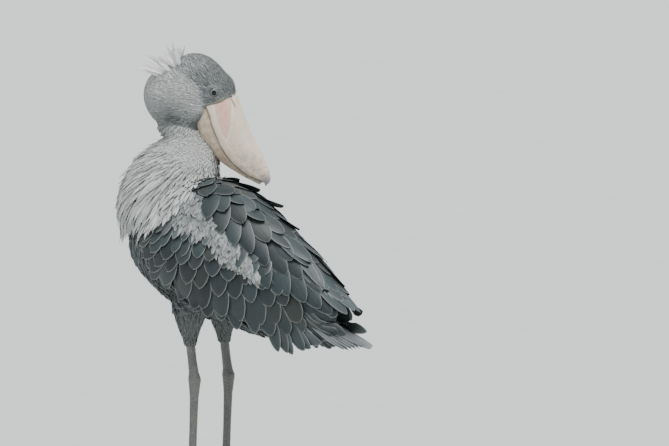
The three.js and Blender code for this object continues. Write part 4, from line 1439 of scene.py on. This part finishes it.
def upper_place(along, angle, open_part):
    forward = columns(BILL + BILL_TIP, along)[0]
    left, up, edge = bill_ring(forward, angle)
    fade = step(2, 30, forward) * step(226, 200, forward)
    top = np.cos(angle) > 0.1
    side = np.sign(left)
    keel = 3.0 * hill(left, 0, 4.5) - 1.3 * hill(np.abs(left), 9, 3.0)
    ribs = 0.35 * np.sin(forward / 5.1 + 0.02 * left**2) * hill(np.cos(angle), 0.45, 0.35)
    lip = 1.6 * hill(np.cos(angle), 0.10, 0.13) * fade
    wave = 0.9 * np.sin(forward / 8.0) * fade * (np.cos(angle) < 0.15)
    up = up + (keel + ribs) * fade * top + wave - 3.2 * nostril(left, forward) * top
    left = left + side * lip
    middle = edge + 18 * step(228, 190, forward)
    return from_head(np.stack([left * open_part, forward, middle + (up - middle) * open_part], -1))


def lower_place(along, angle, open_part):
    forward, wide, ridge, edge, under = columns(BILL, along)
    top = edge + 6
    drop = np.maximum(0, -np.cos(angle)) ** 0.8 * (top - under)
    flank = np.sign(np.sin(angle)) * np.abs(np.sin(angle)) ** 0.8
    half = wide * BILL_WIDTH - 3
    part = drop / (top - under)
    groove = 1.6 * hill(part, 0.20, 0.05) + 1.0 * hill(part, 0.55, 0.06)
    fade = step(8, 30, forward) * step(212, 180, forward)
    ribs = 0.5 * np.sin(forward / 3.7 + 6 * part) * (part > 0.2)
    left = flank * (half - (groove + ribs) * fade) * open_part
    up = np.where(open_part > 0, top - drop, (edge + under) / 2)
    return from_head(np.stack([left, forward + 2, up], -1))

# %% The colours of horn
# Places on the head reach the nodes in decimetres. The pink patch is a shield on each side of the upper
# bill, whose axis starts at PATCH_TOP.
PATCH_TOP = (0.22, 0.46)
PATCH_AXIS = (0.803, -0.596)
PATCH_LENGTH = 0.84
PATCH_HALF = 0.195


def horn_finish():
    wire = Finish("bill_horn")
    spot = wire.attribute("spot", "Vector")
    _, forward, up = wire.split(spot)
    cloud = wire.noise(spot, 5.0, 4.0, 0.4)
    patches = wire.noise(spot, 9.0, 6.0, 0.5)
    fine = wire.noise(spot, 34.0, 4.0)
    grain = wire.noise(wire.stretched(spot, (60, 6, 60)), 1.0, 3.0)

    # Cream horn with long streaks, browner below.
    cream = wire.mix(cloud, (0.76, 0.59, 0.41), (0.94, 0.86, 0.70))
    streaked = wire.mix(wire.times(grain, 0.30), cream, (0.60, 0.47, 0.36))
    lower = wire.attribute("lower")
    tan_part = wire.times(lower, wire.smooth(patches, 0.32, 0.72, 0.20, 0.75))
    tanned = wire.mix(tan_part, streaked, (0.48, 0.32, 0.20))

    # The pink patch: how far down its axis a place is, how far off it, and how wide the patch is there.
    from_top = wire.minus(forward, PATCH_TOP[0])
    from_mid = wire.minus(up, PATCH_TOP[1])
    down_axis = wire.plus(wire.times(from_top, PATCH_AXIS[0]), wire.times(from_mid, PATCH_AXIS[1]))
    down_patch = wire.math("DIVIDE", down_axis, PATCH_LENGTH)
    off_axis = wire.minus(wire.times(from_mid, PATCH_AXIS[0]), wire.times(from_top, PATCH_AXIS[1]))
    narrowing = wire.math("POWER", wire.math("MAXIMUM", down_patch, 0.0), 2.4)
    half = wire.times(wire.minus(1.0, narrowing), PATCH_HALF)
    wobble = wire.scaled(patches, 0.08, -0.04)
    inside = wire.plus(wire.minus(half, wire.math("ABSOLUTE", off_axis)), wobble)
    upper = wire.minus(1.0, lower)
    patch = wire.times(wire.smooth(inside, -0.01, 0.04), upper)
    border = wire.times(wire.smooth(inside, -0.07, -0.01), wire.minus(upper, patch))
    bordered = wire.mix(wire.times(border, 0.4, clamp=True), tanned, (0.93, 0.89, 0.78))
    pink = wire.mix(wire.smooth(patches, 0.35, 0.65), (0.82, 0.42, 0.35), (0.80, 0.56, 0.45))
    pinked = wire.mix(wire.times(patch, 0.92), bordered, pink)

    # Blotches, ash and specks gather towards the hook. Along the mouth's edges and in the nostril slits a
    # near-black painted shade is laid over the horn.
    blotch = wire.smooth(wire.noise(spot, 8.0, 5.0, 0.8), 0.58, 0.70)
    towards_tip = wire.smooth(forward, 0.6, 2.0, 0.12, 0.75)
    blotched = wire.mix(wire.times(blotch, towards_tip), pinked, (0.42, 0.25, 0.20))
    ashen = wire.times(wire.smooth(patches, 0.50, 0.66), wire.smooth(forward, 0.9, 2.1, 0.10, 0.7))
    greyed = wire.mix(ashen, blotched, (0.40, 0.39, 0.42))
    hooked = wire.mix(wire.smooth(forward, 1.98, 2.20, 0.0, 0.8), greyed, (0.27, 0.26, 0.30))
    speck = wire.times(wire.smooth(fine, 0.60, 0.70), wire.smooth(forward, 0.5, 1.9, 0.12, 0.6))
    specked = wire.mix(speck, hooked, (0.22, 0.15, 0.12))
    height = wire.plus(wire.times(grain, 0.5), wire.plus(cloud, patches))
    # The dark mask lays the painted shade along the mouth and in the nostrils.
    return wire.surface({
        "Base Color": wire.mix(wire.attribute("dark"), specked, (0.045, 0.030, 0.024)),
        "Normal": wire.bump(height, 0.0014, 0.55), "Roughness": wire.scaled(cloud, 0.25, 0.30),
        "Specular IOR Level": 0.45,
    })

# %% Both halves of the bill
BLUNT_EDGE = math.radians(50)


def finished(item, finish, slot, *nodes):
    """Smooths the shading of a hard piece, sets it on the bird and dresses it."""
    pick(item)
    bpy.ops.object.shade_smooth_by_angle(angle=BLUNT_EDGE)
    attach(item, "root")
    return dressed(item, finish, slot, *nodes)


horn = horn_finish()
bill_rows = refine(BILL + BILL_TIP, 200)
for name, node, sides, rings, place, is_lower in (
    ("bill_upper_horn", "bill_upper", 192, 190, upper_place, 0.0),
    ("bill_lower_horn", "bill_lower", 128, 120, lower_place, 1.0),
):
    item = shaped_ball(name, sides, rings, place)
    local = to_head(vertices_of(item))
    edge = at(bill_rows, local[:, 1])[2]
    # Painted shade: the nostril slits, and the cutting edges where the two halves meet, are darkened.
    slit = nostril(local[:, 0], local[:, 1]) * (local[:, 2] > 30)
    if is_lower:
        mouth_shadow = step(edge - 3.2, edge - 0.8, local[:, 2]) * 0.9
    else:
        mouth_shadow = step(edge + 1.6, edge - 0.2, local[:, 2]) * 0.8
    remember(item, "spot", "FLOAT_VECTOR", local / 100)
    remember(item, "dark", "FLOAT", np.maximum(slit, mouth_shadow))
    remember(item, "lower", "FLOAT", np.full(len(local), is_lower))
    finished(item, horn, "horn", node)

# %% [markdown]
# ## The eyes
# A large pale grey iris with a round dark pupil, under a clear, wet surface. A lid of bare skin rings it.

# %% Eyes
EYE_RADIUS = 13.0
CORNEA_RISE = 0.9
LOOK = np.array([1.0, 0.18, 0.05])
# From 0.66 outward the tones fall to near black, a painted shadow of the lid round the iris.
IRIS_TONES = [
    (0.0, (0.002, 0.002, 0.003)), (0.42, (0.002, 0.002, 0.003)), (0.46, (0.10, 0.125, 0.13)),
    (0.56, (0.22, 0.26, 0.27)), (0.66, (0.12, 0.15, 0.16)), (0.74, (0.010, 0.011, 0.012)),
]


def eye_finish():
    wire = Finish("eye")
    rays = wire.noise(wire.stretched(wire.attribute("spot", "Vector"), (20, 160, 160)), 1.0)
    share = wire.scaled(rays, 0.03, wire.math("DIVIDE", wire.attribute("gap"), EYE_RADIUS))
    return wire.surface({
        "Base Color": wire.ramp(share, IRIS_TONES), "Roughness": wire.scaled(rays, 0.04, 0.10),
        "Specular IOR Level": 0.2, "Coat Weight": 0.35, "Coat Roughness": 0.02,
    })


def eye_line(side):
    """The middle of an eye, and its line of sight."""
    return EYE_PLACE * (side, 1, 1), unit(LOOK * (side, 1, 1))


def eye_place(side):
    """The ball of one eye, with its poles on the line of sight and a slightly raised front."""
    centre, axis = eye_line(side)

    def place(along, angle, open_part):
        polar = along * math.pi * 0.998
        first = unit(np.cross(axis, [0, 0, 1.0]))
        second = np.cross(axis, first) * side
        sideways = np.outer(np.cos(angle), first) + np.outer(np.sin(angle), second)
        reach = EYE_RADIUS + CORNEA_RISE * np.exp(-((polar / 0.55) ** 2))
        out = np.cos(polar)[:, None] * axis + (np.sin(polar) * open_part)[:, None] * sideways
        return from_head(centre + out * reach[:, None])
    return place


eye_material = eye_finish()
for side, word in SIDES:
    eyeball = shaped_ball(f"eye_{word}_ball", 64, 48, eye_place(side))
    centre, axis = eye_line(side)
    local = to_head(vertices_of(eyeball)) - centre
    off_axis = np.linalg.norm(local - np.outer(local @ axis, axis), axis=1)
    remember(eyeball, "gap", "FLOAT", np.where(local @ axis > 0, off_axis, EYE_RADIUS))
    remember(eyeball, "spot", "FLOAT_VECTOR", local / 100)
    finished(eyeball, eye_material, "eye", f"eye_{word}")

# %% Lids
LID_RADIUS = 10.6
LID_THICKNESS = 1.5
LID_FORWARD = 7.2


def lid(side, fold):
    """A ring of folded skin round the eye, wider at the back and front than above and below."""
    bpy.ops.mesh.primitive_torus_add(
        major_segments=90, minor_segments=16, major_radius=LID_RADIUS + 2.4 * fold,
        minor_radius=LID_THICKNESS,
    )
    ring = bpy.context.object
    x, y, z = vertices_of(ring).T
    round_part = np.arctan2(y, x)
    z = z * (1 + 0.10 * np.sin(round_part * 17) + 0.06 * np.sin(round_part * 41 + 1))
    centre, axis = eye_line(side)
    first = unit(np.cross([0, 0, 1.0], axis))
    second = np.cross(axis, first)
    local = np.outer(x * 1.07, first) + np.outer(y * 0.90, second) + np.outer(z, axis)
    move_points(ring, from_head(centre + axis * (LID_FORWARD - 1.9 * fold) + local))
    return ring

# %% [markdown]
# ## The skin's own finish
# Feathers hide nearly all of the skin. It is sunk under the coat's depth, and only comes up to the surface
# in the bare face round the eye, where fine wrinkles and an olive tinge show.

# %% Sinking the skin
COAT_DEPTH = 4.5
THROAT_COAT_DEPTH = 1.8
HEAD_COAT_DEPTH = 2.8
BARE_DEPTH = 0.6


def all_smooth(item):
    item.data.polygons.foreach_set("use_smooth", np.ones(len(item.data.polygons), bool))


def coat_shade(places):
    """The shade of the coat at each place, for the skin under it."""
    x, y, z = stations_of(places).T
    shade = np.where(z > 590, 0.30, 0.62)
    shade = np.where(under_wing(places) | (y > -60), 0.85, shade)
    # Under the cape the skin is darker than the feathers over it, a painted shade in the gaps between them.
    neck = 0.05 + 0.35 * step(40, 110, throat_gap(places))
    shade = np.where(on_neck(places), neck, shade)
    # On the head the skin is a little darker than its feathers, a painted shade in the gaps.
    return np.where(on_head(places), head_shade(to_head(places)) + 0.05, shade)


lids = [lid(side, fold) for side, word in SIDES for fold in (0, 1)]
points = vertices_of(skin)
head_part = on_head(points)
bare_part = bare_face(to_head(points)) * head_part
neck_depth = np.interp(throat_gap(points), [50, 100], [THROAT_COAT_DEPTH, COAT_DEPTH])
depth = np.where(head_part, HEAD_COAT_DEPTH, neck_depth)
depth = depth + (BARE_DEPTH - depth) * bare_part
move_points(skin, points - normals_of(skin) * (depth * MM)[:, None])

whole = joined([skin] + lids, "skin")
places = vertices_of(whole)
remember(whole, "shade", "FLOAT", coat_shade(places))
remember(whole, "chance", "FLOAT", np.full(len(places), 0.4))
remember(whole, "bare", "FLOAT", np.concatenate([bare_part, np.ones(len(places) - len(bare_part))]))
remember(whole, "spot", "FLOAT_VECTOR", to_head(places) / 100)
all_smooth(whole)

# %% Skin material
def skin_finish():
    wire = Finish("feathered_skin")
    place = wire.object_place()
    folds = wire.noise(place, 420.0, 3.0, 0.6)
    _, forward, up = wire.split(wire.attribute("spot", "Vector"))
    off_eye = wire.minus(forward, EYE_PLACE[1] / 100)
    over_eye = wire.minus(up, EYE_PLACE[2] / 100)
    reach = wire.math("SQRT", wire.plus(wire.times(off_eye, off_eye), wire.times(over_eye, over_eye)))
    rings = wire.math("SINE", wire.times(wire.scaled(wire.noise(place, 60.0), 0.10, reach), 260.0))
    wrinkles = wire.plus(wire.times(rings, 0.35), folds)
    # The grey follows the wrinkles' height, darker where they sink: a painted shade in the creases.
    grey = wire.mix(wire.smooth(wrinkles, 0.2, 0.9), (0.10, 0.10, 0.095), (0.30, 0.31, 0.29))
    olive_part = wire.times(wire.smooth(forward, -0.04, 0.12), 0.6)
    bare_skin = wire.mix(olive_part, grey, (0.20, 0.17, 0.085))
    return wire.surface({
        "Base Color": wire.mix(wire.attribute("bare"), coat_colour(wire), bare_skin),
        "Normal": wire.bump(wrinkles, 0.001, 0.6), "Roughness": wire.scaled(folds, 0.2, 0.55),
    })


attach(whole, "root")
dressed(whole, skin_finish(), "pale_plumage", "head", "neck", "torso", "thigh_left", "thigh_right")
print("skin", len(whole.data.polygons), "faces")

# %% [markdown]
# ## Legs and feet
# The solids already have the right shape here, so each leg is a copy of its own solids, joined, remeshed
# and smoothed. Then a net of small scales is pressed into it: every point finds its two nearest scale
# centres, and where both are as near, a groove runs.

# %% Scaly legs
LEG_VOXEL = 0.0017
SCALE_SIZE = 4.6
GROOVE_WIDTH = 0.0015
GROOVE_DEPTH = 0.00055
SAME_POINT = 0.00002


def copy_of(node):
    """A copy of a solid's mesh with its loose triangles merged."""
    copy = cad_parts[node].copy()
    copy.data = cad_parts[node].data.copy()
    for key in list(copy.keys()):
        del copy[key]
    copy.parent = None
    copy.hide_render = False
    copy.hide_viewport = False
    bpy.context.collection.objects.link(copy)
    copy.data.materials.clear()
    pick(copy)
    bpy.ops.object.mode_set(mode="EDIT")
    bpy.ops.mesh.select_all(action="SELECT")
    bpy.ops.mesh.remove_doubles(threshold=SAME_POINT)
    bpy.ops.object.mode_set(mode="OBJECT")
    return copy


def leg_finish():
    wire = Finish("leg_scales")
    groove = wire.attribute("groove")
    place = wire.object_place()
    dust = wire.noise(place, 500.0)
    scale = wire.mix(wire.noise(place, 30.0, 3.0), (0.085, 0.088, 0.080), (0.19, 0.19, 0.175))
    dusty = wire.mix(wire.times(dust, 0.4), scale, (0.26, 0.25, 0.22))
    return wire.surface({
        "Base Color": wire.mix(wire.times(groove, 0.75), dusty, (0.035, 0.035, 0.032)),
        "Normal": wire.bump(dust, 0.0004, 0.4), "Roughness": wire.scaled(groove, 0.3, 0.42),
    })


def press_scales(item, seed):
    """Presses the net of scales into a leg."""
    points = vertices_of(item)
    spacing = np.full(len(points), SCALE_SIZE * MM)
    tree = tree_of(points[spread_out(points, spacing, np.random.default_rng(seed))])
    gaps = np.array([[found[2] for found in tree.find_n(p, 2)] for p in points.tolist()])
    groove = step(GROOVE_WIDTH, 0.0, gaps[:, 1] - gaps[:, 0])
    move_points(item, points - normals_of(item) * (GROOVE_DEPTH * groove)[:, None])
    remember(item, "groove", "FLOAT", groove)
    all_smooth(item)


TOE_NAMES = ["middle", "outer", "inner", "hind"]
leg_scales = leg_finish()
for number, (side, word) in enumerate(SIDES):
    nodes = [f"shank_{word}"] + [f"toe_{toe}_{word}" for toe in TOE_NAMES]
    leg = remade(joined([copy_of(node) for node in nodes], f"leg_{word}"), LEG_VOXEL, 5)
    press_scales(leg, 80 + number)
    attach(leg, "root")
    dressed(leg, leg_scales, "leg_scales", *nodes)
    print(leg.name, len(leg.data.polygons), "faces")

# %% [markdown]
# A claw grows out of its toe, so each is made a little larger about its tip, and its root sinks in.

# %% Claws
CLAW_GROWTH = 1.14
CLAW_LOWEST = 0.0003
CLAW_VOXEL = 0.0009


def claw_finish():
    wire = Finish("claw_horn")
    grain = wire.noise(wire.stretched(wire.object_place(), (160, 60, 160)), 1.0, 3.0)
    return wire.surface({
        "Base Color": wire.mix(grain, (0.018, 0.016, 0.015), (0.075, 0.068, 0.062)),
        "Normal": wire.bump(grain, 0.0004, 0.4), "Roughness": wire.scaled(grain, 0.25, 0.28),
    })


claw_horn = claw_finish()
for side, word in SIDES:
    for toe in TOE_NAMES:
        claw = copy_of(f"claw_{toe}_{word}")
        claw.name = f"claw_{toe}_{word}_horn"
        points = vertices_of(claw)
        toe_middle = vertices_of(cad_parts[f"toe_{toe}_{word}"]).mean(0)
        tip = points[np.argmax(np.linalg.norm(points - toe_middle, axis=1))]
        points = tip + (points - tip) * CLAW_GROWTH
        points[:, 2] = np.maximum(points[:, 2], CLAW_LOWEST)
        move_points(claw, points)
        all_smooth(remade(claw, CLAW_VOXEL, 6))
        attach(claw, "root")
        dressed(claw, claw_horn, "claw_horn", f"claw_{toe}_{word}")
